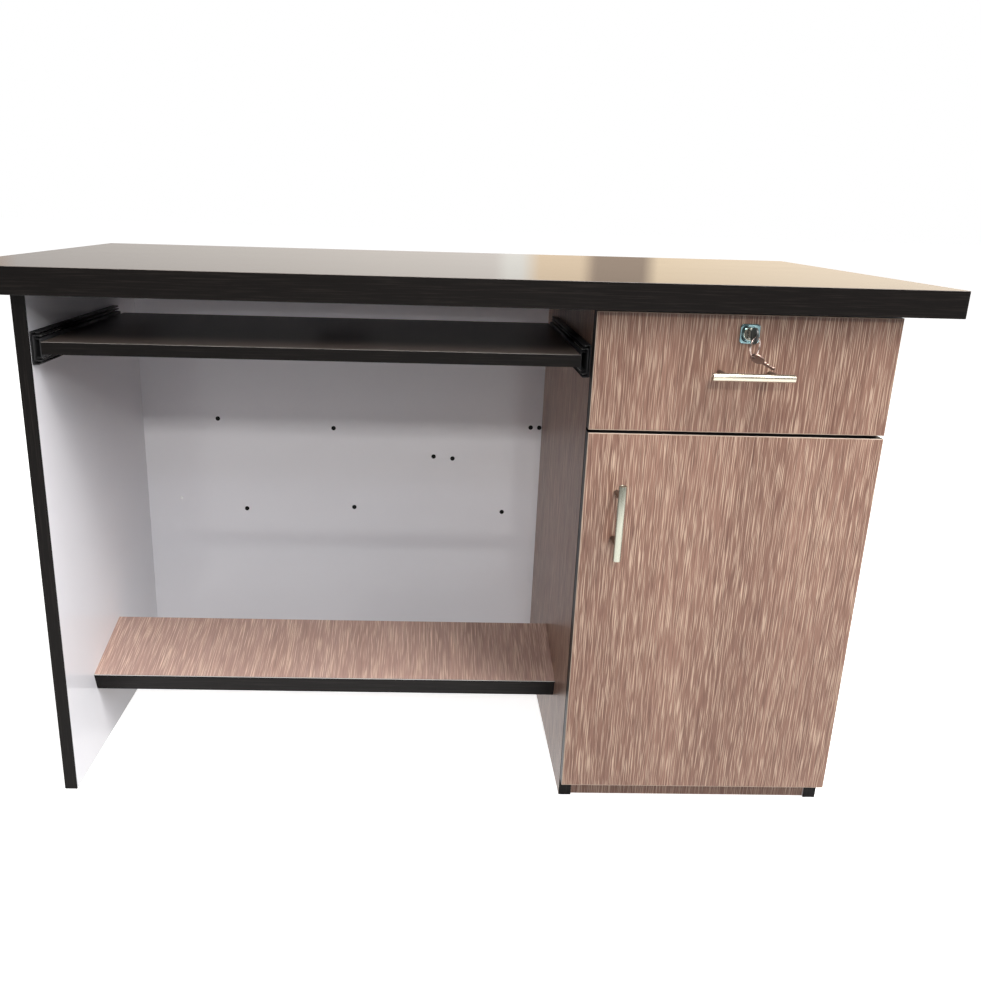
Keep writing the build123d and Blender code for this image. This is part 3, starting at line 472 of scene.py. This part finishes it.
def addLight(name, facts):
    lamp = bpy.data.lights.new(name, "AREA")
    lamp.shape = "RECTANGLE"
    lamp.size, lamp.size_y = facts["size"]
    lamp.energy = facts["power"]
    lamp.color = facts["colour"]
    azimuth = math.radians(facts["azimuth"])
    elevation = math.radians(facts["elevation"])
    outward = Vector((math.sin(azimuth) * math.cos(elevation),
                      -math.cos(azimuth) * math.cos(elevation), math.sin(elevation)))
    holder = bpy.data.objects.new(name, lamp)
    holder.location = Vector((0, 0, 0.4)) + outward * facts["distance"]
    holder.rotation_euler = outward.to_track_quat("Z", "Y").to_euler()
    scene.collection.objects.link(holder)


for lightName, facts in lights.items():
    addLight(lightName, facts)

worldLook = dict(
    seen=(1.0, 1.0, 1.0), diffuse=(0.265, 0.26, 0.27), frontHalf=(0.30, 0.285, 0.265),
    ceiling=(0.80, 0.79, 0.76), backWall=(
        (0.05, (0.55, 0.36, 0.25)), (0.09, (0.61, 0.57, 0.535)), (0.45, (0.80, 0.74, 0.68)),
        (0.575, (0.86, 0.80, 0.74)), (0.59, (1.00, 0.97, 0.90)), (0.605, (1.00, 0.97, 0.90)),
        (0.625, (0.98, 0.78, 0.56)), (0.67, (0.98, 0.78, 0.56)), (0.685, (0.46, 0.36, 0.28)),
        (0.735, (0.46, 0.36, 0.28)), (0.75, (1.06, 0.86, 0.62)), (1.0, (1.15, 0.98, 0.78)),
    ),
)


def makeWorld():
    # white to the camera, soft grey as fill, and a warm room as far as reflections go
    world = bpy.data.worlds.new("studio")
    scene.world = world
    world.use_nodes = True
    tree = world.node_tree
    toward = addNode(tree, "SeparateXYZ", {0: addNode(tree, "TexCoord").outputs["Generated"]})
    aside, away, up = toward.outputs
    wall = addNode(tree, "ValToRGB", {"Fac": calc(tree, "ADD", aside, 0.5)})
    stops = wall.color_ramp.elements
    for number, (place, colour) in enumerate(worldLook["backWall"]):
        stop = stops[number] if number < 2 else stops.new(place)
        stop.position = place
        stop.color = (*colour, 1)
    room = blendColour(tree, ramp(tree, away, -0.15, 0.25), worldLook["frontHalf"],
                       wall.outputs[0])
    room = blendColour(tree, ramp(tree, up, 0.35, 0.7), room, worldLook["ceiling"])
    path = addNode(tree, "LightPath").outputs
    colour = blendColour(tree, path["Is Glossy Ray"], worldLook["diffuse"], room)
    colour = blendColour(tree, path["Is Camera Ray"], colour, worldLook["seen"])
    tree.links.new(colour, tree.nodes["Background"].inputs["Color"])


makeWorld()

viewpoint = dict(place=(-0.0413, -1.3573, 0.8318), yaw=0.02668, pitch=0.28850, roll=0.02831,
                 lens=32.18, sensor=36.0, shift=(0.0463, -0.0248))


def addCamera():
    data = bpy.data.cameras.new("camera")
    data.sensor_width = viewpoint["sensor"]
    data.lens = viewpoint["lens"]
    data.shift_x, data.shift_y = viewpoint["shift"]
    data.clip_end = 200
    camera = bpy.data.objects.new("camera", data)
    scene.collection.objects.link(camera)
    camera.matrix_world = (
        Matrix.Translation(viewpoint["place"])
        @ Matrix.Rotation(-viewpoint["yaw"], 4, "Z")
        @ Matrix.Rotation(math.pi / 2 - viewpoint["pitch"], 4, "X")
        @ Matrix.Rotation(viewpoint["roll"], 4, "Z")
    )
    scene.camera = camera


addCamera()
scene.view_settings.view_transform = "Standard"
print("floor, lights and camera placed")


# mesh helpers for the fittings, with sizes in millimetres until a piece is finished
def bevelEdges(shape, edges, offset, segments=3):
    bmesh.ops.bevel(shape, geom=list(edges), offset=offset, segments=segments, profile=0.5,
                    affect="EDGES", material=-1, clamp_overlap=True)


def addPiece(name, shape, finish, body, replaced=(), smooth=35, sheet=0.0):
    bmesh.ops.remove_doubles(shape, verts=shape.verts, dist=0.0005)
    if not sheet:
        bmesh.ops.recalc_face_normals(shape, faces=shape.faces)
    bmesh.ops.scale(shape, vec=(mm, mm, mm), verts=shape.verts)
    mesh = bpy.data.meshes.new(name)
    shape.to_mesh(mesh)
    shape.free()
    mesh.shade_smooth()
    mesh.set_sharp_from_angle(angle=math.radians(smooth))
    mesh.materials.append(look[finish])
    piece = bpy.data.objects.new(name, mesh)
    scene.collection.objects.link(piece)
    if sheet:
        wall = piece.modifiers.new("sheet", "SOLIDIFY")
        wall.thickness = sheet * mm
        wall.offset = 0.0
        wall.use_even_offset = True
    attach(piece, body)
    if replaced:
        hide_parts(*replaced)
    return piece


def boxOf(node):
    low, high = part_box(node)
    return Vector(low) / mm, Vector(high) / mm


def turned(shape, profile, base, axis, sides=32):
    # a lathe: (distance along the axis, radius) pairs turned about it
    base, axis = Vector(base), Vector(axis).normalized()
    side = axis.orthogonal().normalized()
    verts = [shape.verts.new(base + axis * along + side * radius) for along, radius in profile]
    edges = [shape.edges.new(pair) for pair in zip(verts, verts[1:])]
    bmesh.ops.spin(shape, geom=verts + edges, cent=base, axis=axis, dvec=(0, 0, 0),
                   angle=2 * math.pi, steps=sides, use_merge=True, use_duplicate=False)


def block(shape, low, high, edge=0.0, segments=2):
    low, high = Vector(low), Vector(high)
    size = high - low
    place = Matrix.Translation((low + high) / 2) @ Matrix.Diagonal((*size, 1))
    made = bmesh.ops.create_cube(shape, size=1.0, matrix=place)["verts"]
    if edge:
        bevelEdges(shape, {e for vert in made for e in vert.link_edges}, edge, segments)


def frontPlane(x, y, z):
    # local x to the right, local y up, local z towards the sitter
    return Matrix(((1, 0, 0, x), (0, 0, -1, y), (0, 1, 0, z), (0, 0, 0, 1)))


def holedPlate(shape, place, size, corner, hole, holeCorner, shift, thick, edge, steps=7):
    # a plate with rounded corners and one rounded hole, its back on the plane
    made = []
    for (wide, high), rounding, move in ((size, corner, (0, 0, 0)), (hole, holeCorner, shift)):
        loop = bmesh.ops.create_grid(shape, x_segments=1, y_segments=1, size=0.5)["verts"]
        bmesh.ops.scale(shape, vec=(wide, high, 1), verts=loop)
        bmesh.ops.translate(shape, vec=move, verts=loop)
        face = loop[0].link_faces[0]
        bmesh.ops.delete(shape, geom=[face], context="FACES_ONLY")
        bmesh.ops.bevel(shape, geom=loop, offset=rounding * 0.999, segments=steps,
                        profile=0.5, affect="VERTICES", material=-1)
        made += [e for e in shape.edges if e.is_wire and e not in made]
    ring = bmesh.ops.bridge_loops(shape, edges=made)["faces"]
    grown = bmesh.ops.extrude_face_region(shape, geom=ring)["geom"]
    top = [item for item in grown if isinstance(item, bmesh.types.BMVert)]
    bmesh.ops.translate(shape, vec=(0, 0, thick), verts=top)
    topFaces = {item for item in grown if isinstance(item, bmesh.types.BMFace)}
    rims = {e for f in topFaces for e in f.edges if any(g not in topFaces for g in e.link_faces)}
    every = {v for f in ring for v in f.verts} | set(top)
    if edge:
        grownVerts = bmesh.ops.bevel(shape, geom=list(rims), offset=edge, segments=3, profile=0.5,
                                     affect="EDGES", material=-1)["verts"]
        every |= set(grownVerts)
    every = [v for v in every if v.is_valid]
    bmesh.ops.transform(shape, matrix=place, verts=every)


# bar handles
barLook = dict(postInset=1.2, edge=0.5, dish=0.35, dishRadius=3.4, post=3.4,
               postSpacing=64.0, screwHead=4.0, screwHigh=1.9, sides=48)


def makeBar(name, node, postNode, body, finish, screwsBehind):
    low, high = boxOf(node)
    middle, span = (low + high) / 2, high - low
    along = Vector((1, 0, 0)) if span.x > span.z else Vector((0, 0, 1))
    half, radius = span.dot(along) / 2, (high.y - low.y) / 2
    edge, dish, dishRadius = barLook["edge"], barLook["dish"], barLook["dishRadius"]
    end = [(dish, 0.0), (dish, dishRadius - 0.3), (0.0, dishRadius), (0.0, radius - edge),
           (0.3 * edge, radius - 0.3 * edge), (edge, radius)]
    profile = [(step - half, r) for step, r in end]
    profile += [(half - step, r) for step, r in reversed(end)]
    shape = bmesh.new()
    turned(shape, profile, middle, along, barLook["sides"])
    addPiece(name, shape, finish, body, (node,), smooth=30)

    face = boxOf(postNode)[1].y
    reach, post = face - middle.y - barLook["postInset"], barLook["post"]
    head, headHigh = barLook["screwHead"], barLook["screwHigh"]
    shape = bmesh.new()
    for side in (-0.5, 0.5):
        foot = middle + along * side * barLook["postSpacing"]
        foot.y = face
        turned(shape, [(0, 0), (0, post - 0.2), (0.2, post), (reach, post), (reach, 0)],
               foot, (0, -1, 0), 32)
        if screwsBehind:
            back = foot + Vector((0, boxOf("door_panel")[1].y - face, 0))
            turned(shape, [(0, 0), (0, head), (0.5 * headHigh, head), (0.9 * headHigh, 0.75 * head),
                           (headHigh, 0.45 * head), (headHigh, 0.3 * head),
                           (0.5 * headHigh, 0.3 * head), (0.5 * headHigh, 0)], back, (0, 1, 0), 20)
    addPiece(name + "Posts", shape, "postSteelPaintedShade", body, (postNode,), smooth=30)


makeBar("drawerBar", "drawer_handle_bar", "drawer_handle_posts", "drawer", "brushedX", False)
makeBar("doorBar", "door_handle_bar", "door_handle_posts", "door", "brushedZ", True)
print("bar handles made")


# drawer lock: bezel, plug with its keyway, key, ring and spare key
lockLook = dict(bezelCorner=4.5, bezelHole=19.4, bezelEdge=0.7, groove=8.05, recess=1.1, rim=1.3,
                keyway=(2.6, 9.0), plugLength=14.0, pocket=2.5)


def makeBezel():
    low, high = boxOf("lock_bezel")
    side, middle, hole = high.x - low.x, (low + high) / 2, lockLook["bezelHole"]
    inner, outer = lockLook["groove"], hole / 2 + 0.1
    shape = bmesh.new()
    holedPlate(shape, frontPlane(middle.x, high.y, middle.z), (side, side),
               lockLook["bezelCorner"], (hole, hole), hole / 2, (0, 0, 0), high.y - low.y,
               lockLook["bezelEdge"])
    turned(shape, [(0, inner), (0.5, inner), (0.5, outer), (0, outer), (0, inner)],
           (middle.x, high.y, middle.z), (0, -1, 0), 32)
    addPiece("lockBezel", shape, "chrome", "drawer", ("lock_bezel",), smooth=30)


def makePlug():
    low, high = boxOf("lock_cylinder")
    middle, radius = (boxOf("lock_bezel")[0] + boxOf("lock_bezel")[1]) / 2, (high.x - low.x) / 2
    recess, face = lockLook["recess"], radius - lockLook["rim"]
    base = (middle.x, low.y + recess, middle.z)
    shape = bmesh.new()
    holedPlate(shape, frontPlane(*base), (2 * face, 2 * face), face, lockLook["keyway"], 0.4,
               (0, 0, 0), recess - 0.45, 0.0)
    pocket, back = -lockLook["pocket"], -lockLook["plugLength"]
    turned(shape, [(pocket, 0), (pocket, face - 0.1), (0, face - 0.05), (recess - 0.35, face),
                   (recess - 0.05, face + 0.35), (recess, radius - 0.5), (recess - 0.3, radius),
                   (back, radius), (back, 0)], base, (0, -1, 0), 40)
    addPiece("lockPlug", shape, "plugMetal", "key", ("lock_cylinder",), smooth=30)


keyLook = dict(bowHole=6.0, bowHoleSet=5.0, neckHalf=(1.7, 4.6), neckReach=(4.0, 0.8),
               ringWire=0.45, ringFlat=1.5, ringTurns=2, ringSteps=56, ringYaw=45.0,
               yaw=80.0, droop=29.0, twist=52.0, bow=9.0, hole=2.5, holeSet=1.5, bowThick=2.2,
               length=30.0, blade=6.0, bladeThick=1.7,
               cuts=(1.3, 0.4, 1.9, 0.9, 2.2, 0.7, 1.5, 0.5))


def makeKeyBow():
    # plastic bow, its plane upright and pointing at the sitter
    low, high = boxOf("key_bow")
    middle = (low + high) / 2
    length, width, thick = high.y - low.y, high.z - low.z, high.x - low.x
    toFront = Matrix(((0, 0, 1, low.x), (-1, 0, 0, middle.y), (0, -1, 0, middle.z), (0, 0, 0, 1)))
    hole = keyLook["bowHole"]
    shape = bmesh.new()
    holedPlate(shape, toFront, (length, width), width / 2 - 0.5, (hole, hole), hole / 2,
               (length / 2 - keyLook["bowHoleSet"], 0, 0), thick, 0.5)
    halfX, halfZ = keyLook["neckHalf"]
    inward, onward = keyLook["neckReach"]
    block(shape, (middle.x - halfX, high.y - inward, middle.z - halfZ),
          (middle.x + halfX, high.y + onward, middle.z + halfZ), 0.5)
    addPiece("keyBow", shape, "keyPlastic", "key", ("key_bow",), smooth=40)


def makeRing():
    # split ring: two turns of flattened wire side by side
    low, high = boxOf("key_ring")
    centre, wire = (low + high) / 2, keyLook["ringWire"]
    radius = (high.z - low.z) / 2 - 2 * wire
    yaw = math.radians(keyLook["ringYaw"])
    normal = Vector((-math.sin(yaw), math.cos(yaw), 0))
    start = centre - normal * wire * 1.6 + Vector((0, 0, radius))
    across = normal.cross(Vector((0, 0, 1)))
    place = Matrix.Translation(start) @ Matrix((
        (0, normal.x, across.x, 0), (0, normal.y, across.y, 0), (1, normal.z, across.z, 0),
        (0, 0, 0, 1)))
    flatten = Matrix.Diagonal((keyLook["ringFlat"], 1, 1, 1))
    turns, steps = keyLook["ringTurns"], keyLook["ringSteps"]
    shape = bmesh.new()
    section = bmesh.ops.create_circle(shape, cap_ends=True, segments=10, radius=wire,
                                      matrix=place @ flatten)["verts"]
    bmesh.ops.spin(shape, geom=list({f for v in section for f in v.link_faces}), cent=centre,
                   axis=normal, dvec=normal * (2 * wire * 0.98 / steps),
                   angle=2 * math.pi * turns, steps=turns * steps, use_duplicate=False)
    addPiece("keyRing", shape, "keySteelPaintedReflection", "key_bunch", ("key_ring",), smooth=40)
    return centre, radius


def makeSpareKey(ringCentre, ringRadius):
    # hung from the ring by its bow
    yaw, droop = math.radians(keyLook["yaw"]), math.radians(keyLook["droop"])
    run = Vector((math.sin(yaw) * math.cos(droop), -math.cos(yaw) * math.cos(droop),
                  -math.sin(droop)))
    normal = Vector((math.cos(yaw), math.sin(yaw), 0))
    normal.rotate(Matrix.Rotation(math.radians(keyLook["twist"]), 3, run))
    side = normal.cross(run)
    bow, hole = keyLook["bow"], keyLook["hole"]
    eye = Vector((ringCentre.x, ringCentre.y, ringCentre.z - ringRadius - hole + 2.4))
    flat = Matrix(((run.x, side.x, normal.x, eye.x), (run.y, side.y, normal.y, eye.y),
                   (run.z, side.z, normal.z, eye.z), (0, 0, 0, 1)))
    inset, thick = bow - hole - keyLook["holeSet"], keyLook["bowThick"]
    shape = bmesh.new()
    holedPlate(shape, flat @ Matrix.Translation((inset, 0, -thick / 2)), (2 * bow, 1.8 * bow),
               bow * 0.89, (2 * hole, 2 * hole), hole, (-inset, 0, 0), thick, 0.4)
    addPiece("spareKeyBow", shape, "spareSteelPaintedShade", "key_bunch", ("spare_key",),
             smooth=40)

    start, end = inset + bow - 1.5, keyLook["length"]
    cuts, half, thick = keyLook["cuts"], keyLook["blade"] / 2, keyLook["bladeThick"]
    shape = bmesh.new()
    blade = bmesh.ops.create_grid(shape, x_segments=len(cuts) + 1, y_segments=2, size=0.5)["verts"]
    bmesh.ops.scale(shape, vec=(end - start, 2 * half, 1), verts=blade)
    bmesh.ops.translate(shape, vec=((start + end) / 2, 0, -thick / 2), verts=blade)
    lower = sorted((v for v in blade if v.co.y < -0.9 * half), key=lambda v: v.co.x)
    for vert, cut in zip(lower[1:-1], cuts):
        vert.co.y += cut
    for vert in blade:
        if vert.co.x > end - 0.1:
            vert.co.y *= 0.45  # pointed tip
    grown = bmesh.ops.extrude_face_region(shape, geom=list(shape.faces))["geom"]
    bmesh.ops.translate(shape, vec=(0, 0, thick),
                        verts=[g for g in grown if isinstance(g, bmesh.types.BMVert)])
    block(shape, (start + 1.0, 0.4, -1.0), (end - 1.5, 1.1, 1.0))  # rib along the blade
    bmesh.ops.transform(shape, matrix=flat, verts=shape.verts)
    addPiece("spareKeyBlade", shape, "spareSteelPaintedShade", "key_bunch", (), smooth=30)


makeBezel()
makePlug()
makeKeyBow()
makeSpareKey(*makeRing())
print("lock and keys made")

# ball-bearing slides: rolled sections, with balls in their cages
slideLook = dict(
    sheet=1.2, bend=0.9,
    outer=dict(web=0.6, lip=9.4, half=20.4, curl=1.6),
    middle=dict(web=3.3, lip=10.6, half=15.9, curl=0.0),
    inner=dict(web=12.1, lip=6.0, half=11.9, curl=0.0),
    outerBalls=dict(depth=5.8, high=18.15, radius=1.55),
    innerBalls=dict(depth=8.4, high=13.9, radius=1.3),
    count=6, pitch=11.0, firstSet=14.0, cageEnd=5.0, cageHalf=(2.2, 0.3),
)


def roundedPath(points, radius, steps=4):
    # right-angled corners of an open path replaced by quarter circles
    path = [points[0]]
    for before, corner, after in zip(points, points[1:], points[2:]):
        back, onward = (before - corner).normalized(), (after - corner).normalized()
        for step in range(steps + 1):
            turn = math.pi / 2 * step / steps
            path.append(corner + back * radius * (1 - math.sin(turn))
                        + onward * radius * (1 - math.cos(turn)))
    return path + [points[-1]]


def slideSection(shape, section, wall, sign, mid, front, back):
    # one rolled member as a bent strip, later given its sheet thickness
    points = [(section["lip"], section["half"]), (section["web"], section["half"])]
    if section["curl"]:
        points.insert(0, (section["lip"], section["half"] - section["curl"]))
    points += [(deep, -high) for deep, high in reversed(points)]
    corners = [Vector((wall + sign * deep, front, mid + high)) for deep, high in points]
    verts = [shape.verts.new(place) for place in roundedPath(corners, slideLook["bend"])]
    path = [shape.edges.new(pair) for pair in zip(verts, verts[1:])]
    grown = bmesh.ops.extrude_edge_only(shape, edges=path)["geom"]
    bmesh.ops.translate(shape, vec=(0, back - front, 0),
                        verts=[g for g in grown if isinstance(g, bmesh.types.BMVert)])


def slideBalls(shape, balls, wall, sign, mid, front):
    # two rows of balls, each in its strip of cage
    first, pitch, cageEnd = front + slideLook["firstSet"], slideLook["pitch"], slideLook["cageEnd"]
    last = first + (slideLook["count"] - 1) * pitch
    across, (wide, thin) = wall + sign * balls["depth"], slideLook["cageHalf"]
    for up in (-1, 1):
        height = mid + up * balls["high"]
        for number in range(slideLook["count"]):
            bmesh.ops.create_uvsphere(shape, u_segments=10, v_segments=6, radius=balls["radius"],
                                      matrix=Matrix.Translation((across, first + number * pitch,
                                                                 height)))
        block(shape, (across - wide, first - cageEnd, height - thin),
              (across + wide, last + cageEnd, height + thin), 0.15, 1)


def makeSlides(kind, moving, middleBody):
    stages = (("outer", "carcass"), ("middle", middleBody), ("inner", moving))
    outerLow, outerHigh = boxOf(kind + "_slide_outer_members")
    mid = (outerLow.z + outerHigh.z) / 2
    walls = ((outerLow.x, 1), (outerHigh.x, -1))
    front, back = outerLow.y, outerHigh.y
    for stage, body in stages:
        node = kind + "_slide_" + stage + "_members"
        shape = bmesh.new()
        for wall, sign in walls:
            slideSection(shape, slideLook[stage], wall, sign, mid, front, back)
        addPiece(kind + "Slide" + stage.capitalize(), shape, "blackSteel", body,
                 (node,), smooth=40, sheet=slideLook["sheet"])
    for row, body in (("outerBalls", "carcass"), ("innerBalls", middleBody)):
        shape = bmesh.new()
        for wall, sign in walls:
            slideBalls(shape, slideLook[row], wall, sign, mid, front)
        addPiece(kind + row[0].upper() + row[1:], shape, "zinc", body, (), smooth=60)


makeSlides("tray", "tray", "tray_slide_middle")
makeSlides("drawer", "drawer", "drawer_slide_middle")
print("slides made")


# concealed hinges: a cup with its flange on the door, housing and plate in the carcass
hingeLook = dict(cup=17.2, wall=0.8, flange=19.0, flangeThick=0.7, cupEnd=17.4,
                 wingReach=25.0, wingHalf=6.5, wingScrew=4.5, screw=(3.4, 1.3),
                 housing=(524.5, 531.3), housingHalf=6.2, housingSet=(9.0, 1.0), rootHalf=8.0,
                 plateWing=24.0, plateThick=1.1, plateSet=17.0, plateWide=12.0,
                 plateScrew=(3.6, 1.6), setScrew=(3.0, 1.5), setScrewsAt=(20, 38))


def panHead(shape, place, axis, size):
    radius, high = size
    turned(shape, [(0, 0), (0, radius), (0.35 * high, radius), (0.8 * high, 0.78 * radius),
                   (high, 0.5 * radius), (high, 0.3 * radius), (0.45 * high, 0.22 * radius),
                   (0.45 * high, 0)], place, axis, 20)


def hingeCup(shape, cupX, mouth, depth, height):
    radius, wall, lift = hingeLook["cup"], hingeLook["wall"], hingeLook["flangeThick"]
    flange, wide, reach = hingeLook["flange"], hingeLook["wingHalf"], hingeLook["wingReach"]
    turned(shape, [(-depth, 0), (-depth, radius - 0.8), (0.8 - depth, radius), (0, radius),
                   (0, flange), (lift, flange - 0.2), (lift, radius - 0.2),
                   (-0.4, radius - wall), (wall + 0.6 - depth, radius - wall),
                   (wall - depth, radius - wall - 0.6), (wall - depth, 0)],
           (cupX, mouth, height), (0, 1, 0), 48)
    for up in (-1, 1):
        lower, upper = sorted((height + up * (radius - 1.0), height + up * reach))
        block(shape, (cupX - wide, mouth + 0.01, lower), (cupX + wide, mouth + lift, upper),
              0.25, 2)
        panHead(shape, (cupX, mouth + lift, height + up * (reach - hingeLook["wingScrew"])),
                (0, 1, 0), hingeLook["screw"])


def hingePlate(shape, low, high, height):
    inner, outer = hingeLook["housing"]
    half, root, thick = hingeLook["housingHalf"], hingeLook["rootHalf"], hingeLook["plateThick"]
    frontSet, backSet = hingeLook["housingSet"]
    block(shape, (outer - 0.2, low.y, height - root), (high.x, high.y, height + root), 0.6, 2)
    block(shape, (inner, low.y + frontSet, height - half),
          (outer + 0.2, high.y - backSet, height + half), 1.6, 3)
    wingLow, wide = low.y + hingeLook["plateSet"], hingeLook["plateWide"]
    for up in (-1, 1):
        lower, upper = sorted((height + up * 6, height + up * hingeLook["plateWing"]))
        block(shape, (high.x - thick, wingLow, lower), (high.x, wingLow + wide, upper), 0.4, 2)
        panHead(shape, (high.x - thick, wingLow + wide / 2,
                        height + up * (hingeLook["plateWing"] - 5)), (-1, 0, 0),
                hingeLook["plateScrew"])
    for along in hingeLook["setScrewsAt"]:
        panHead(shape, (inner + 0.1, low.y + along, height), (-1, 0, 0), hingeLook["setScrew"])


def makeHinges():
    low, high = boxOf("hinge_cups")
    plateLow, plateHigh = boxOf("hinge_plates")
    cups, plates = bmesh.new(), bmesh.new()
    for height in (low.z + hingeLook["cupEnd"], high.z - hingeLook["cupEnd"]):
        hingeCup(cups, (low.x + high.x) / 2, high.y, high.y - low.y, height)
        hingePlate(plates, plateLow, plateHigh, height)
    addPiece("hingeCups", cups, "zinc", "door", ("hinge_cups",), smooth=35)
    addPiece("hingePlates", plates, "zinc", "carcass", ("hinge_plates",), smooth=35)


makeHinges()


# white cover cap on the modesty panel
capLook = dict(side=59.0, height=312.0, radius=3.2, high=1.4)


def makeCap():
    low = boxOf("modesty_panel")[0]
    radius, high = capLook["radius"], capLook["high"]
    shape = bmesh.new()
    turned(shape, [(0, 0), (0, radius), (0.35 * high, 0.98 * radius), (0.75 * high, 0.75 * radius),
                   (0.95 * high, 0.4 * radius), (high, 0)],
           (low.x + capLook["side"], low.y, capLook["height"]), (0, -1, 0), 24)
    addPiece("coverCap", shape, "whiteCap", "carcass", (), smooth=60)


makeCap()
print("hinges and cover cap made")
